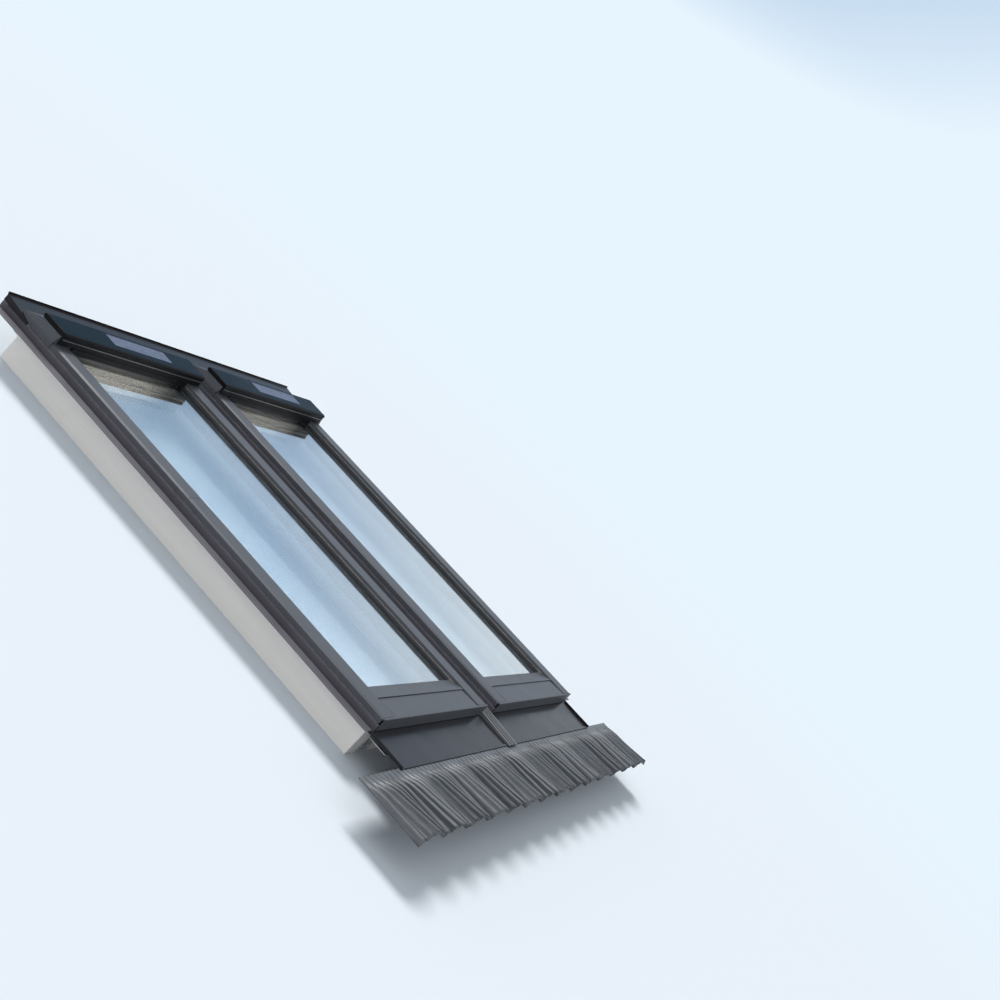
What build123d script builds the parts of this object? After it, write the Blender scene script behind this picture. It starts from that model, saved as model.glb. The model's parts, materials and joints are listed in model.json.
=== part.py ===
from build123d import *
import math
import os

# Twin centre-pivot roof window: two windows side by side in one shared flashing.
# X runs across the roof, Y up the slope and Z outwards from the roof.
# The model is drawn with Y = 0 at the lower end of the frames and Z = 0 at the top
# face of the side covers, and it is moved to its resting place at the end of the file.
# Each window is drawn about its own centre line, where X = 0.

# Layout of the pair
frame_gap = 103.0
pivot_offset = 38.0
running_gap = 0.3
cut_margin = 1.0

# Timber frame
frame_width = 777.0
frame_length = 1404.0
frame_base_z = -130.0
jamb_thickness = 36.5
sill_thickness = 30.0
sill_top_z = -9.0
head_thickness = 34.0
cover_rebate_width = 4.5
cover_rebate_z = -24.0

# Sash
sash_side_gap = 4.0
sash_end_gap = 4.0
stile_width = 48.0
top_rail_width = 48.0
bottom_rail_width = 66.0
sash_base_z = -95.0
sash_end_bevel = 8.0
sash_end_bevel_z = -45.0
glass_rebate = 22.0
top_rail_top_z = -8.0

# Insulating glass
glass_top_z = -19.0
pane_thickness = 4.0
cavity_thickness = 16.0
glass_edge_gap = 2.0
glass_low_setback = 4.0
gasket_low_setback = 3.5
spacer_width = 7.0
spacer_inset = 8.0
gasket_height = 2.0
gasket_width = 5.5
gasket_inset = 10.5
trim_width = 2.2
trim_height = 8.0

# Folded aluminium covers
cover_sheet = 1.2
cover_setback = 2.5
cover_width = 70.0
cover_wall = 18.0
cover_bevel_width = 10.0
cover_bevel_drop = 3.5
cover_lip_slope = 2.5
cover_lip_drop = 8.0
cover_end_y = -8.0
cover_end_split = 0.6
cover_bend = 1.6
front_face_y = -15.0
front_face_drop = 38.0
front_return = 6.0
front_lap = 1.0
cover_lap = 16.0
plate_high_y = 60.0
plate_fall = 3.9
plate_end_width = 12.0
plate_end_drop = 3.0
bead_low_y = 54.5
bead_start_z = -0.5
bead_end_z = -15.3
bead_return = 2.2

# Casing over the head and the solar hood on it
casing_front_setback = 90.0
casing_ridge_setback = 11.0
casing_back_overhang = 36.0
casing_clearance = 0.6
casing_wall_base_z = -17.5
casing_fold_z = 3.0
casing_top_z = 25.0
casing_side_slope = 12.8
casing_back_z = 4.0
hood_setback = 16.5
hood_height = 13.5
hood_round = 6.5
hood_front_depth = 5.5
hood_nose_overhang = 2.0
hood_ridge_low_z = 17.0
hood_ridge_high_z = 22.0
hood_ridge_slope = 1.5
hood_back_overhang = 5.0
hood_lip_overlap = 2.0
hood_lip_low_z = -14.0
hood_lip_step_z = 3.0
hood_lip_edge = 1.5
hood_wall = 2.5
hood_end_edge = 1.5
panel_end_inset = 4.0
panel_front_inset = 3.0
panel_width = 75.0
panel_thickness = 2.4
panel_rise = 0.4
panel_corner = 2.0

# Curved-track pivot hinge
track_radius = 58.0
track_plate_depth = 10.0
groove_inner_radius = 35.6
groove_outer_radius = 46.4
groove_depth = 6.4
track_top_z = -2.0
ring_clearance = 0.4
shoe_plate_radius = 50.0
shoe_plate_thickness = 2.0

# Ventilation flap with its grip, on the top rail
flap_end_gap = 11.0
flap_half_thickness = 5.5
flap_width = 36.0
flap_lug_thickness = 6.0
flap_pin_radius = 3.0
flap_pin_clearance = 0.1
flap_setback = 2.5
flap_grip_drop = 9.0
flap_grip_round = 2.6
flap_edge_round = 3.0

# Barrel bolt in the stile
bolt_y = 150.0
bolt_z = -80.0
bolt_radius = 4.0
bolt_clearance = 0.3
bolt_travel = 14.0
bolt_stem_radius = 2.0
bolt_stem_offset = 30.0
bolt_knob_radius = 5.5
bolt_knob_height = 6.0
bolt_knob_edge = 1.2
bolt_inset = 1.0
bolt_socket_depth = 18.0

# Chain operator in the head
operator_length = 420.0
operator_width = 27.0
operator_height = 33.0
operator_edge = 3.0
chain_slot_width = 24.0
chain_slot_height = 14.0

# Fixing brackets
bracket_width = 60.0
bracket_leg = 62.0
bracket_drop = 50.0
bracket_sheet = 2.5
bracket_top_z = -75.0
bracket_hole_radius = 3.5
bracket_hole_reach = 36.0
bracket_setback = 88.5
bracket_corner = 8.0

# Rubber seals inside the frame
seal_radius = 1.7
seal_z = -64.0
seal_end_gap = 5.0

# Flashing
flashing_sheet = 1.0
flashing_bend = 1.4
flashing_run_out_y = -13.5
flashing_hem = 3.4
flashing_hem_z = -18.6
side_channel_width = 16.0
side_welt_height = 8.0
side_welt_slope = 3.0
side_welt_flange = 40.0
flashing_reach = 101.0
gutter_rib_half_width = 13.0
gutter_rib_spread = 3.0
gutter_rib_height = 5.0
top_flashing_start_z = -14.0
top_flashing_bend_z = -4.0
top_flashing_end_z = 2.0
top_flashing_upturn = 6.0
top_flashing_overhang = 6.0
top_flashing_lip = 3.5
top_flashing_turn = 1.0

# Apron below the windows
apron_z = -42.0
apron_upstand = 18.0
apron_sweep_start_y = -80.0
apron_sweep_end_y = -8.0
apron_rise = 3.2
apron_bend = 7.8
crease_y = -130.0
crease_hem = 7.0
crease_hem_height = 2.4
crease_hem_edge = 1.0
apron_bead_radius = 3.0
apron_edge_height = 5.0

# Pleated skirt
skirt_reach = 261.5
skirt_end_y = -324.0
skirt_lap_x = 25.0
skirt_sheet = 1.6
skirt_overlap = 6.0
tile_roll_pitch = 155.0
tile_roll_height = 27.0
skirt_valley_drop = 2.0
pleat_pitch = 30.0
pleat_height = 8.0
pleat_profile = ((0.0, 0.0), (0.25, 0.0), (0.45, 1.0), (0.8, 1.0))
skirt_stations = ((0.0, 0.0, 0.0), (0.12, 0.1, 0.1), (0.35, 0.34, 0.85), (0.6, 0.6, 1.0), (1.0, 1.0, 1.0))

# Strip over the joint between the two apron sheets
strip_half_width = 35.0
strip_side = 3.0
strip_rib_height = 2.5
strip_rib_width = 5.0
strip_rib_spacing = 18.0
strip_top_y = 8.0
strip_top_z = -29.0
strip_kink_y = -84.0
strip_kink_z = -35.0
strip_end_y = -134.0

# Sizes that follow from the ones above
half_frame = frame_width / 2
window_pitch = frame_width + frame_gap
pivot_y = frame_length / 2 + pivot_offset
jamb_inner = half_frame - jamb_thickness
jamb_top_outer = half_frame - cover_rebate_width
timber_top_z = -cover_sheet - running_gap
stile_outer = jamb_inner - sash_side_gap
stile_inner = stile_outer - stile_width
cover_half_width = half_frame - cover_setback
cover_inner_edge = cover_half_width - cover_width
bracket_offset = half_frame - bracket_setback
flap_half_length = stile_inner - flap_end_gap
head_inner_y = frame_length - head_thickness
sash_low_y = sill_thickness + sash_end_gap
sash_high_y = head_inner_y - sash_end_gap
bottom_rail_y = sash_low_y + bottom_rail_width
top_rail_y = sash_high_y - top_rail_width
glass_base_z = glass_top_z - 2 * pane_thickness - cavity_thickness
rebate_u = stile_inner + glass_rebate
glass_half_width = rebate_u - glass_edge_gap
glass_low_y = bottom_rail_y - glass_rebate + glass_edge_gap + glass_low_setback
glass_high_y = top_rail_y + glass_rebate
gasket_half_width = glass_half_width - gasket_inset
gasket_low_y = glass_low_y + gasket_inset + gasket_low_setback
gasket_high_y = glass_high_y - gasket_inset
bead_high_y = gasket_low_y + gasket_width
plate_low_y = front_face_y + front_return - front_lap
plate_half_width = cover_inner_edge - cover_lip_slope - running_gap
casing_half_width = cover_half_width + casing_clearance + cover_sheet
casing_front_y = frame_length - casing_front_setback
casing_ridge_y = frame_length - casing_ridge_setback
casing_back_y = frame_length + casing_back_overhang
hood_half_width = half_frame - hood_setback
hood_lip_half_width = stile_inner + hood_lip_overlap
panel_half_length = hood_half_width - panel_end_inset
window_centres = {"left": -window_pitch / 2, "right": window_pitch / 2}
half_pair = window_pitch / 2 + half_frame
half_gutter = window_pitch / 2 - half_frame
skirt_half_width = half_pair + skirt_reach
top_flashing_bend_y = casing_back_y
flashing_top_y = frame_length + flashing_reach
flashing_wall = half_frame + running_gap
flashing_floor_z = apron_z + running_gap + flashing_sheet
apron_half_width = half_pair + running_gap + flashing_sheet + side_channel_width + side_welt_slope
hem_top_z = apron_z + crease_hem_height
skirt_top_z = apron_z - flashing_sheet - running_gap
strip_end_z = hem_top_z + running_gap + strip_side
drawing_mid_y = (skirt_end_y + flashing_top_y + flashing_sheet) / 2
to_rest = Pos(0, -drawing_mid_y, -frame_base_z)


def block(x0, x1, y0, y1, z0, z1):
    """Box between two corners."""
    size = Box(x1 - x0, y1 - y0, z1 - z0)
    return Pos((x0 + x1) / 2, (y0 + y1) / 2, (z0 + z1) / 2) * size


def along_y(profile, y0, y1):
    """Section drawn in X and Z, run from y0 to y1."""
    section_plane = Plane(origin=(0, y1, 0), x_dir=(1, 0, 0), z_dir=(0, -1, 0))
    return extrude(section_plane * profile, y1 - y0)


def along_x(profile, x0, x1):
    """Section drawn in Y and Z, run from x0 to x1."""
    section_plane = Plane(origin=(x0, 0, 0), x_dir=(0, 1, 0), z_dir=(1, 0, 0))
    return extrude(section_plane * profile, x1 - x0)


def outline(points):
    """Flat face with straight sides."""
    return make_face(Polyline(*points, close=True))


def folded(points, sheet, bend, side=Side.LEFT):
    """Section of a folded sheet: points follow its visible face."""
    line = FilletPolyline(*points, radius=bend)
    return make_face(line.offset_2d(sheet, side=side))


def both_sides(piece):
    """A piece with its mirror image across the window's centre line."""
    return [piece, mirror(piece, about=Plane.YZ)]


def disc(radius, x0, x1, y=pivot_y, z=0.0):
    """Round plate whose axis runs along X."""
    turned = Pos((x0 + x1) / 2, y, z) * Rot(0, 90, 0)
    return turned * Cylinder(radius, x1 - x0)


def group(pieces):
    """Separate solids kept in one node."""
    return Compound(children=[solid for piece in pieces for solid in piece.solids()])


def frame_jamb(side):
    """Side member, rebated for the covers, with the pocket for the hinge."""
    section = outline([
        (jamb_inner, frame_base_z),
        (half_frame, frame_base_z),
        (half_frame, cover_rebate_z),
        (jamb_top_outer, cover_rebate_z + cover_rebate_width),
        (jamb_top_outer, timber_top_z - cover_bevel_drop),
        (jamb_top_outer - cover_bevel_width, timber_top_z),
        (jamb_inner, timber_top_z),
    ])
    jamb = along_y(section, sill_thickness, head_inner_y)
    pocket = disc(track_radius + running_gap, jamb_inner, jamb_inner + track_plate_depth + running_gap)
    jamb -= pocket
    if side < 0:
        return mirror(jamb, about=Plane.YZ)
    socket = disc(bolt_radius + bolt_clearance, jamb_inner, jamb_inner + bolt_socket_depth, bolt_y, bolt_z)
    return jamb - socket


def frame_end(y0, y1):
    """Sill or head, as wide as the frame, rebated for the covers at both ends."""
    section = outline([
        (-half_frame, frame_base_z),
        (half_frame, frame_base_z),
        (half_frame, cover_rebate_z),
        (jamb_top_outer, cover_rebate_z + cover_rebate_width),
        (jamb_top_outer, timber_top_z - cover_bevel_drop),
        (jamb_top_outer - cover_bevel_width, timber_top_z),
        (cover_bevel_width - jamb_top_outer, timber_top_z),
        (-jamb_top_outer, timber_top_z - cover_bevel_drop),
        (-jamb_top_outer, cover_rebate_z + cover_rebate_width),
        (-half_frame, cover_rebate_z),
    ])
    return along_y(section, y0, y1)


def frame_sill():
    """Sill, lower between the jambs so that the sash covers' lips pass over it."""
    lowered = block(-jamb_inner, jamb_inner, 0.0, sill_thickness, sill_top_z, timber_top_z)
    return frame_end(0.0, sill_thickness) - lowered


def operator_space(clearance):
    """Room that the chain operator fills in the head, open towards the room."""
    half_length = operator_length / 2 + clearance
    mid_y = frame_length - head_thickness / 2
    half_width = operator_width / 2 + clearance
    top_z = frame_base_z + operator_height + clearance
    return block(-half_length, half_length, mid_y - half_width, mid_y + half_width, frame_base_z, top_z)


def frame_head():
    """Head with the pocket for the operator and the slot for its chain."""
    slot_z = frame_base_z + operator_height / 2
    slot = block(
        -chain_slot_width / 2, chain_slot_width / 2,
        head_inner_y, frame_length - head_thickness / 2,
        slot_z - chain_slot_height / 2, slot_z + chain_slot_height / 2,
    )
    return frame_end(head_inner_y, frame_length) - operator_space(running_gap) - slot


def chain_operator():
    """Closed housing of the electric chain operator, flush with the head's underside."""
    body = operator_space(0.0)
    return fillet(body.edges().filter_by(Axis.X), operator_edge)


def sash_stile(side):
    """Side member of the sash with its glazing rebate and the seat of the hinge plate."""
    section = outline([
        (stile_inner, sash_base_z),
        (stile_outer, sash_base_z),
        (stile_outer, timber_top_z),
        (rebate_u, timber_top_z),
        (rebate_u, glass_base_z),
        (stile_inner, glass_base_z),
    ])
    stile = along_y(section, sash_low_y, sash_high_y)
    stile -= along_x(sash_end_cut(), stile_inner, stile_outer)
    seat = disc(shoe_plate_radius + running_gap, stile_outer - shoe_plate_thickness, stile_outer)
    stile -= seat
    top_end_cut = block(rebate_u, stile_outer, top_rail_y + glass_rebate, sash_high_y,
                        top_rail_top_z, timber_top_z)
    stile -= top_end_cut
    if side < 0:
        return mirror(stile, about=Plane.YZ)
    bore = disc(bolt_radius + bolt_clearance, stile_inner, stile_outer, bolt_y, bolt_z)
    stem_u = stile_outer - bolt_stem_offset
    slot_half = bolt_stem_radius + bolt_clearance
    slot = block(
        stem_u - slot_half, stem_u + bolt_travel + slot_half,
        bolt_y - slot_half, bolt_y + slot_half, sash_base_z, bolt_z,
    )
    return stile - bore - slot


def sash_end_cut():
    """Wedge taken off the sash's lower end, so that it swings clear of the sill."""
    return outline([
        (sash_low_y, sash_base_z),
        (sash_low_y + sash_end_bevel, sash_base_z),
        (sash_low_y, sash_end_bevel_z),
    ])


def sash_bottom_rail():
    """Bottom rail, sloped under the cover plate and the glazing bead."""
    bead_slope = (bead_end_z - bead_start_z) / (bead_high_y - bead_low_y)
    plate_slope = -plate_fall / (plate_high_y - plate_low_y)
    rebate_y = glass_low_y - glass_edge_gap
    under_sheet = cover_sheet + 2 * running_gap
    section = outline([
        (sash_low_y, plate_slope * (sash_low_y - plate_low_y) - under_sheet),
        (plate_high_y + running_gap, -plate_fall - under_sheet),
        (rebate_y, bead_start_z + bead_slope * (rebate_y - bead_low_y) - under_sheet),
        (rebate_y, glass_base_z),
        (bottom_rail_y, glass_base_z),
        (bottom_rail_y, sash_base_z),
        (sash_low_y + sash_end_bevel, sash_base_z),
        (sash_low_y, sash_end_bevel_z),
    ])
    return along_x(section, -stile_inner, stile_inner)


def flap_axis():
    """Place of the ventilation flap's hinge line, as Y and Z."""
    axis_y = top_rail_y + flap_half_thickness + flap_setback
    return axis_y, sash_base_z - running_gap - flap_half_thickness


def sash_top_rail():
    """Top rail with the two lugs that carry the ventilation flap."""
    rebate_y = glass_high_y + glass_edge_gap
    section = outline([
        (top_rail_y, sash_base_z),
        (sash_high_y, sash_base_z),
        (sash_high_y, top_rail_top_z),
        (rebate_y, top_rail_top_z),
        (rebate_y, glass_base_z),
        (top_rail_y, glass_base_z),
    ])
    rail = along_x(section, -stile_inner, stile_inner)
    axis_y, axis_z = flap_axis()
    lug_inner = flap_half_length + running_gap
    lug_outer = lug_inner + flap_lug_thickness
    lug = disc(flap_half_thickness, lug_inner, lug_outer, axis_y, axis_z)
    lug += block(lug_inner, lug_outer, axis_y - flap_half_thickness, axis_y + flap_half_thickness,
                 axis_z, sash_base_z)
    lug -= disc(flap_pin_radius + flap_pin_clearance, lug_inner, lug_outer, axis_y, axis_z)
    return rail + lug + mirror(lug, about=Plane.YZ)


def vent_flap():
    """Flap across the top rail: rounded at its hinge, with a grip along its free edge."""
    axis_y, axis_z = flap_axis()
    thick = flap_half_thickness
    section = outline([
        (axis_y, axis_z - thick),
        (axis_y + flap_width - thick, axis_z - thick),
        (axis_y + flap_width - thick, axis_z - thick - flap_grip_drop),
        (axis_y + flap_width, axis_z - thick - flap_grip_drop),
        (axis_y + flap_width, axis_z + thick),
        (axis_y, axis_z + thick),
    ])
    flap = along_x(section, -flap_half_length, flap_half_length)
    long_edges = flap.edges().filter_by(Axis.X)
    grip_edges = long_edges.group_by(Axis.Z)[0]
    upper_edge = long_edges.group_by(Axis.Z)[-1].sort_by(Axis.Y)[-1]
    flap = fillet(grip_edges, flap_grip_round)
    upper_edge = flap.edges().filter_by(Axis.X).sort_by_distance(upper_edge.center())[0]
    flap = fillet(upper_edge, flap_edge_round)
    flap += disc(thick, -flap_half_length, flap_half_length, axis_y, axis_z)
    pin_end = flap_half_length + running_gap + flap_lug_thickness
    return flap + disc(flap_pin_radius, -pin_end, pin_end, axis_y, axis_z)


def barrel_bolt():
    """Round bolt with its knob, drawn back into the stile."""
    bolt = disc(bolt_radius, stile_inner + bolt_inset, stile_outer - bolt_inset, bolt_y, bolt_z)
    stem_u = stile_outer - bolt_stem_offset
    knob_z = sash_base_z - bolt_clearance - bolt_knob_height
    bolt += Pos(stem_u, bolt_y, (bolt_z + knob_z) / 2) * Cylinder(bolt_stem_radius, bolt_z - knob_z)
    knob = Cylinder(bolt_knob_radius, bolt_knob_height)
    knob = fillet(knob.edges(), bolt_knob_edge)
    return bolt + Pos(stem_u, bolt_y, knob_z + bolt_knob_height / 2) * knob


def pane(top_z):
    """One sheet of the insulating glass."""
    return block(-glass_half_width, glass_half_width, glass_low_y, glass_high_y,
                 top_z - pane_thickness, top_z)


def rectangle_ring(half_width, y0, y1, width, z0, z1):
    """Four-sided strip seen from above."""
    ring = block(-half_width, half_width, y0, y1, z0, z1)
    return ring - block(width - half_width, half_width - width, y0 + width, y1 - width, z0, z1)


def pane_spacer():
    """Hollow-section spacer between the panes, drawn as its outer form."""
    return rectangle_ring(
        glass_half_width - spacer_inset, glass_low_y + spacer_inset, glass_high_y - spacer_inset,
        spacer_width, glass_base_z + pane_thickness, glass_top_z - pane_thickness,
    )


def glazing_gasket():
    """Rubber seal on the outer pane."""
    return rectangle_ring(gasket_half_width, gasket_low_y, gasket_high_y, gasket_width,
                          glass_top_z, glass_top_z + gasket_height)


def glass_trim():
    """Thin aluminium strip beside and above the seal."""
    inner_u = gasket_half_width + running_gap
    side_bar = block(inner_u, inner_u + trim_width, bead_high_y + running_gap, gasket_high_y + trim_width,
                     glass_top_z, glass_top_z + trim_height)
    top_bar = block(-inner_u, inner_u, gasket_high_y + running_gap, gasket_high_y + trim_width,
                    glass_top_z, glass_top_z + trim_height)
    return side_bar + top_bar + mirror(side_bar, about=Plane.YZ)


def side_cover(y0, y1):
    """Folded cover over the jamb and the stile, outer wall to inner lip."""
    inner_line = [
        (cover_half_width, -cover_wall),
        (cover_half_width, -cover_bevel_drop),
        (cover_half_width - cover_bevel_width, 0.0),
        (cover_inner_edge, 0.0),
        (cover_inner_edge - cover_lip_slope, -cover_lip_drop),
    ]
    return along_y(folded(inner_line, cover_sheet, cover_bend), y0, y1)


def lower_covers():
    """Covers that move with the sash, closed at their lower ends."""
    cover = side_cover(cover_end_y, pivot_y - cover_end_split)
    end_face = outline([
        (cover_half_width - cover_sheet, -cover_wall),
        (cover_half_width - cover_sheet, -cover_bevel_drop - cover_sheet / 2),
        (cover_half_width - cover_bevel_width, -cover_sheet / 2),
        (cover_inner_edge, -cover_sheet / 2),
        (cover_inner_edge - cover_lip_slope + cover_sheet, -cover_lip_drop),
        (cover_inner_edge, -cover_wall),
    ])
    return group(both_sides(cover + along_y(end_face, cover_end_y, cover_end_y + cover_sheet)))


def upper_covers():
    """Covers fixed to the frame, from the pivot to under the casing."""
    return group(both_sides(side_cover(pivot_y + cover_end_split, casing_front_y + cover_lap)))


def sash_bottom_cover():
    """Cover over the bottom rail: a plate between the side covers and a full front face."""
    face_line = [
        (front_face_y + front_return, 0.0),
        (front_face_y, 0.0),
        (front_face_y, -front_face_drop),
        (front_face_y + front_return, -front_face_drop),
    ]
    front = along_x(folded(face_line, cover_sheet, cover_bend), -jamb_top_outer, jamb_top_outer)
    flat_half = plate_half_width - plate_end_width
    plate_section = outline([
        (-plate_half_width, -plate_end_drop),
        (-flat_half, 0.0),
        (flat_half, 0.0),
        (plate_half_width, -plate_end_drop),
        (plate_half_width, -plate_end_drop - cover_sheet),
        (flat_half, -cover_sheet),
        (-flat_half, -cover_sheet),
        (-plate_half_width, -plate_end_drop - cover_sheet),
    ])
    fall_angle = math.degrees(math.atan(plate_fall / (plate_high_y - plate_low_y)))
    plate = along_y(plate_section, 0.0, plate_high_y - plate_low_y)
    return front + Pos(0, plate_low_y, 0) * Rot(-fall_angle, 0, 0) * plate


def bottom_bead():
    """Sloping bead from the glass down over the upper edge of the bottom cover."""
    line = [
        (bead_low_y, bead_start_z - bead_return),
        (bead_low_y, bead_start_z),
        (bead_high_y, bead_end_z),
        (bead_high_y, glass_top_z + gasket_height + running_gap),
    ]
    section = folded(line, cover_sheet, cover_sheet / 2, Side.RIGHT)
    return along_x(section, -plate_half_width, plate_half_width)


def top_casing():
    """Folded casing over the head: side walls, sloping shoulders and a back slope."""
    shoulder_u = casing_half_width - casing_side_slope
    section = outline([
        (-casing_half_width, casing_wall_base_z),
        (casing_half_width, casing_wall_base_z),
        (casing_half_width, casing_fold_z),
        (shoulder_u, casing_top_z),
        (-shoulder_u, casing_top_z),
        (-casing_half_width, casing_fold_z),
    ])
    form = along_y(section, casing_front_y, casing_back_y)
    back_cut = outline([
        (casing_ridge_y, casing_top_z),
        (casing_back_y, casing_back_z),
        (casing_back_y + cut_margin, casing_back_z),
        (casing_back_y + cut_margin, casing_top_z + cut_margin),
        (casing_ridge_y, casing_top_z + cut_margin),
    ])
    form -= along_x(back_cut, -casing_half_width, casing_half_width)
    shell = offset(form, -cover_sheet, openings=form.faces().sort_by(Axis.Z)[0])
    passage = casing_half_width - cover_sheet
    shell -= block(-passage, passage, casing_front_y, casing_front_y + cover_sheet,
                   casing_wall_base_z, running_gap)
    under_sheet = outline([
        (frame_length, casing_wall_base_z),
        (frame_length, top_flashing_start_z + running_gap),
        (top_flashing_bend_y, top_flashing_bend_z + running_gap),
        (top_flashing_bend_y, casing_wall_base_z),
    ])
    return shell - along_x(under_sheet, -casing_half_width, casing_half_width)


def solar_hood():
    """Black hood on the casing: round front and back, a recess for the panel, stepped front lips."""
    base_z = casing_top_z
    top_z = base_z + hood_height
    front_y = casing_front_y - hood_front_depth
    back_y = casing_ridge_y + hood_back_overhang
    middle = Pos((front_y + back_y) / 2, base_z + hood_height / 2)
    body_section = middle * RectangleRounded(back_y - front_y, hood_height, hood_round)
    body = along_x(body_section, -hood_half_width, hood_half_width)
    end_edges = body.edges().group_by(Axis.X)
    body = fillet(end_edges[0] + end_edges[-1], hood_end_edge)
    wall_y = front_y + hood_nose_overhang
    wall_section = outline([
        (casing_front_y - running_gap, hood_lip_step_z),
        (casing_front_y - running_gap, base_z + hood_round / 2),
        (wall_y, base_z + hood_round / 2),
        (wall_y, hood_ridge_high_z + hood_ridge_slope),
        (front_y, hood_ridge_high_z),
        (front_y, hood_ridge_low_z + hood_ridge_slope),
        (wall_y, hood_ridge_low_z),
        (wall_y, hood_lip_step_z),
    ])
    wall_half = hood_half_width - hood_end_edge
    body += along_x(wall_section, -wall_half, wall_half)
    lip = block(-hood_lip_half_width, hood_lip_half_width, front_y, casing_front_y - running_gap,
                hood_lip_low_z, hood_lip_step_z)
    lip = fillet(lip.edges().filter_by(Axis.X).sort_by(Axis.Z)[0:1], hood_lip_edge)
    room_half = panel_half_length - hood_wall
    room = block(-room_half, room_half, casing_front_y + hood_wall, casing_ridge_y - hood_wall,
                 base_z, top_z - panel_thickness - hood_wall)
    return body + lip - room - panel_space(running_gap)


def panel_space(clearance):
    """Room of the solar panel in the hood's top."""
    top_z = casing_top_z + hood_height
    front_y = casing_front_y + panel_front_inset
    half = panel_half_length + clearance
    return block(-half, half, front_y - clearance, front_y + panel_width + clearance,
                 top_z - panel_thickness, top_z + clearance)


def solar_panel():
    """Glass-faced panel, proud of the hood by a hair."""
    plate = panel_space(0.0) + Pos(0, 0, panel_rise) * panel_space(0.0)
    return fillet(plate.edges().filter_by(Axis.Z), panel_corner)


def half_ring(inner, outer, x0, x1, top_z):
    """Half ring below the pivot line."""
    ring = disc(outer, x0, x1) - disc(inner, x0, x1)
    return ring - block(x0, x1, pivot_y - outer, pivot_y + outer, top_z, outer + cut_margin)


def hinge_tracks():
    """Track plates in the jambs, each with a half-round groove."""
    x0 = jamb_inner
    x1 = jamb_inner + track_plate_depth
    plate = disc(track_radius, x0, x1)
    plate -= block(x0, x1, pivot_y - track_radius, pivot_y + track_radius, track_top_z, track_radius)
    plate -= half_ring(groove_inner_radius, groove_outer_radius, x0, x0 + groove_depth, 0.0)
    return both_sides(plate)


def hinge_shoes():
    """Plates let into the stiles, each with the half ring that runs in the track."""
    plate = disc(shoe_plate_radius, stile_outer - shoe_plate_thickness, stile_outer)
    plate -= block(stile_outer - shoe_plate_thickness, stile_outer,
                   pivot_y - shoe_plate_radius, pivot_y + shoe_plate_radius, track_top_z, shoe_plate_radius)
    plate += half_ring(groove_inner_radius + ring_clearance, groove_outer_radius - ring_clearance,
                       stile_outer, jamb_inner + groove_depth - ring_clearance, track_top_z)
    return group(both_sides(plate))


def fixing_brackets():
    """Angle brackets on the head and the sill, two of each for a window."""
    brackets = []
    for face_y, outward in ((0.0, -1.0), (frame_length, 1.0)):
        leg_low, leg_high = sorted((face_y, face_y + outward * bracket_leg))
        drop_low, drop_high = sorted((face_y, face_y + outward * bracket_sheet))
        hole_y = face_y + outward * bracket_hole_reach
        for centre_x in (-bracket_offset, bracket_offset):
            x0 = centre_x - bracket_width / 2
            x1 = centre_x + bracket_width / 2
            leg = block(x0, x1, leg_low, leg_high, bracket_top_z - bracket_sheet, bracket_top_z)
            drop = block(x0, x1, drop_low, drop_high, bracket_top_z - bracket_drop, bracket_top_z)
            hole = Pos(centre_x, hole_y, bracket_top_z) * Cylinder(bracket_hole_radius, 3 * bracket_sheet)
            outer_edges = leg.edges().filter_by(Axis.Z).group_by(Axis.Y)[0 if outward < 0 else -1]
            brackets.append(fillet(outer_edges, bracket_corner) + drop - hole)
    return brackets


def frame_seals():
    """Round rubber seals along the inner faces of the jambs and the head."""
    side_u = jamb_inner - running_gap - seal_radius
    side_low_y = sill_thickness + seal_end_gap
    side_high_y = head_inner_y - seal_end_gap
    side_place = Pos(side_u, (side_low_y + side_high_y) / 2, seal_z) * Rot(90, 0, 0)
    side = side_place * Cylinder(seal_radius, side_high_y - side_low_y)
    top_half = jamb_inner - seal_end_gap
    top = disc(seal_radius, -top_half, top_half, head_inner_y - running_gap - seal_radius, seal_z)
    return both_sides(side) + [top]


def upstand_line(window_u, direction):
    """Hem and upstand of a flashing beside a frame, as X and Z from top to floor."""
    wall = window_u + direction * (flashing_wall + flashing_sheet)
    return [
        (wall - direction * flashing_hem, flashing_hem_z),
        (wall, flashing_hem_z - flashing_hem),
        (wall, flashing_floor_z),
    ]


def side_flashing(direction):
    """Channel beside the outer frame: hem, upstand, floor, welt and flange."""
    window_u = direction * window_pitch / 2
    line = upstand_line(window_u, direction)
    floor_end = window_u + direction * (flashing_wall + flashing_sheet + side_channel_width)
    welt_u = floor_end + direction * side_welt_slope
    line += [
        (floor_end, flashing_floor_z),
        (welt_u, flashing_floor_z + side_welt_height),
        (welt_u + direction * side_welt_flange, flashing_floor_z + side_welt_height),
    ]
    side = Side.RIGHT if direction > 0 else Side.LEFT
    return along_y(folded(line, flashing_sheet, flashing_bend, side), flashing_run_out_y, flashing_top_y)


def middle_gutter():
    """Gutter between the two frames with a low rib along its floor."""
    left_line = upstand_line(-window_pitch / 2, 1.0)
    right_line = [(-x, z) for x, z in reversed(left_line)]
    rib_z = flashing_floor_z + gutter_rib_height
    rib = [
        (-gutter_rib_half_width - gutter_rib_spread, flashing_floor_z),
        (-gutter_rib_half_width, rib_z),
        (gutter_rib_half_width, rib_z),
        (gutter_rib_half_width + gutter_rib_spread, flashing_floor_z),
    ]
    line = left_line + rib + right_line
    section = folded(line, flashing_sheet, flashing_bend, Side.RIGHT)
    return along_y(section, flashing_run_out_y, frame_length)


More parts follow.
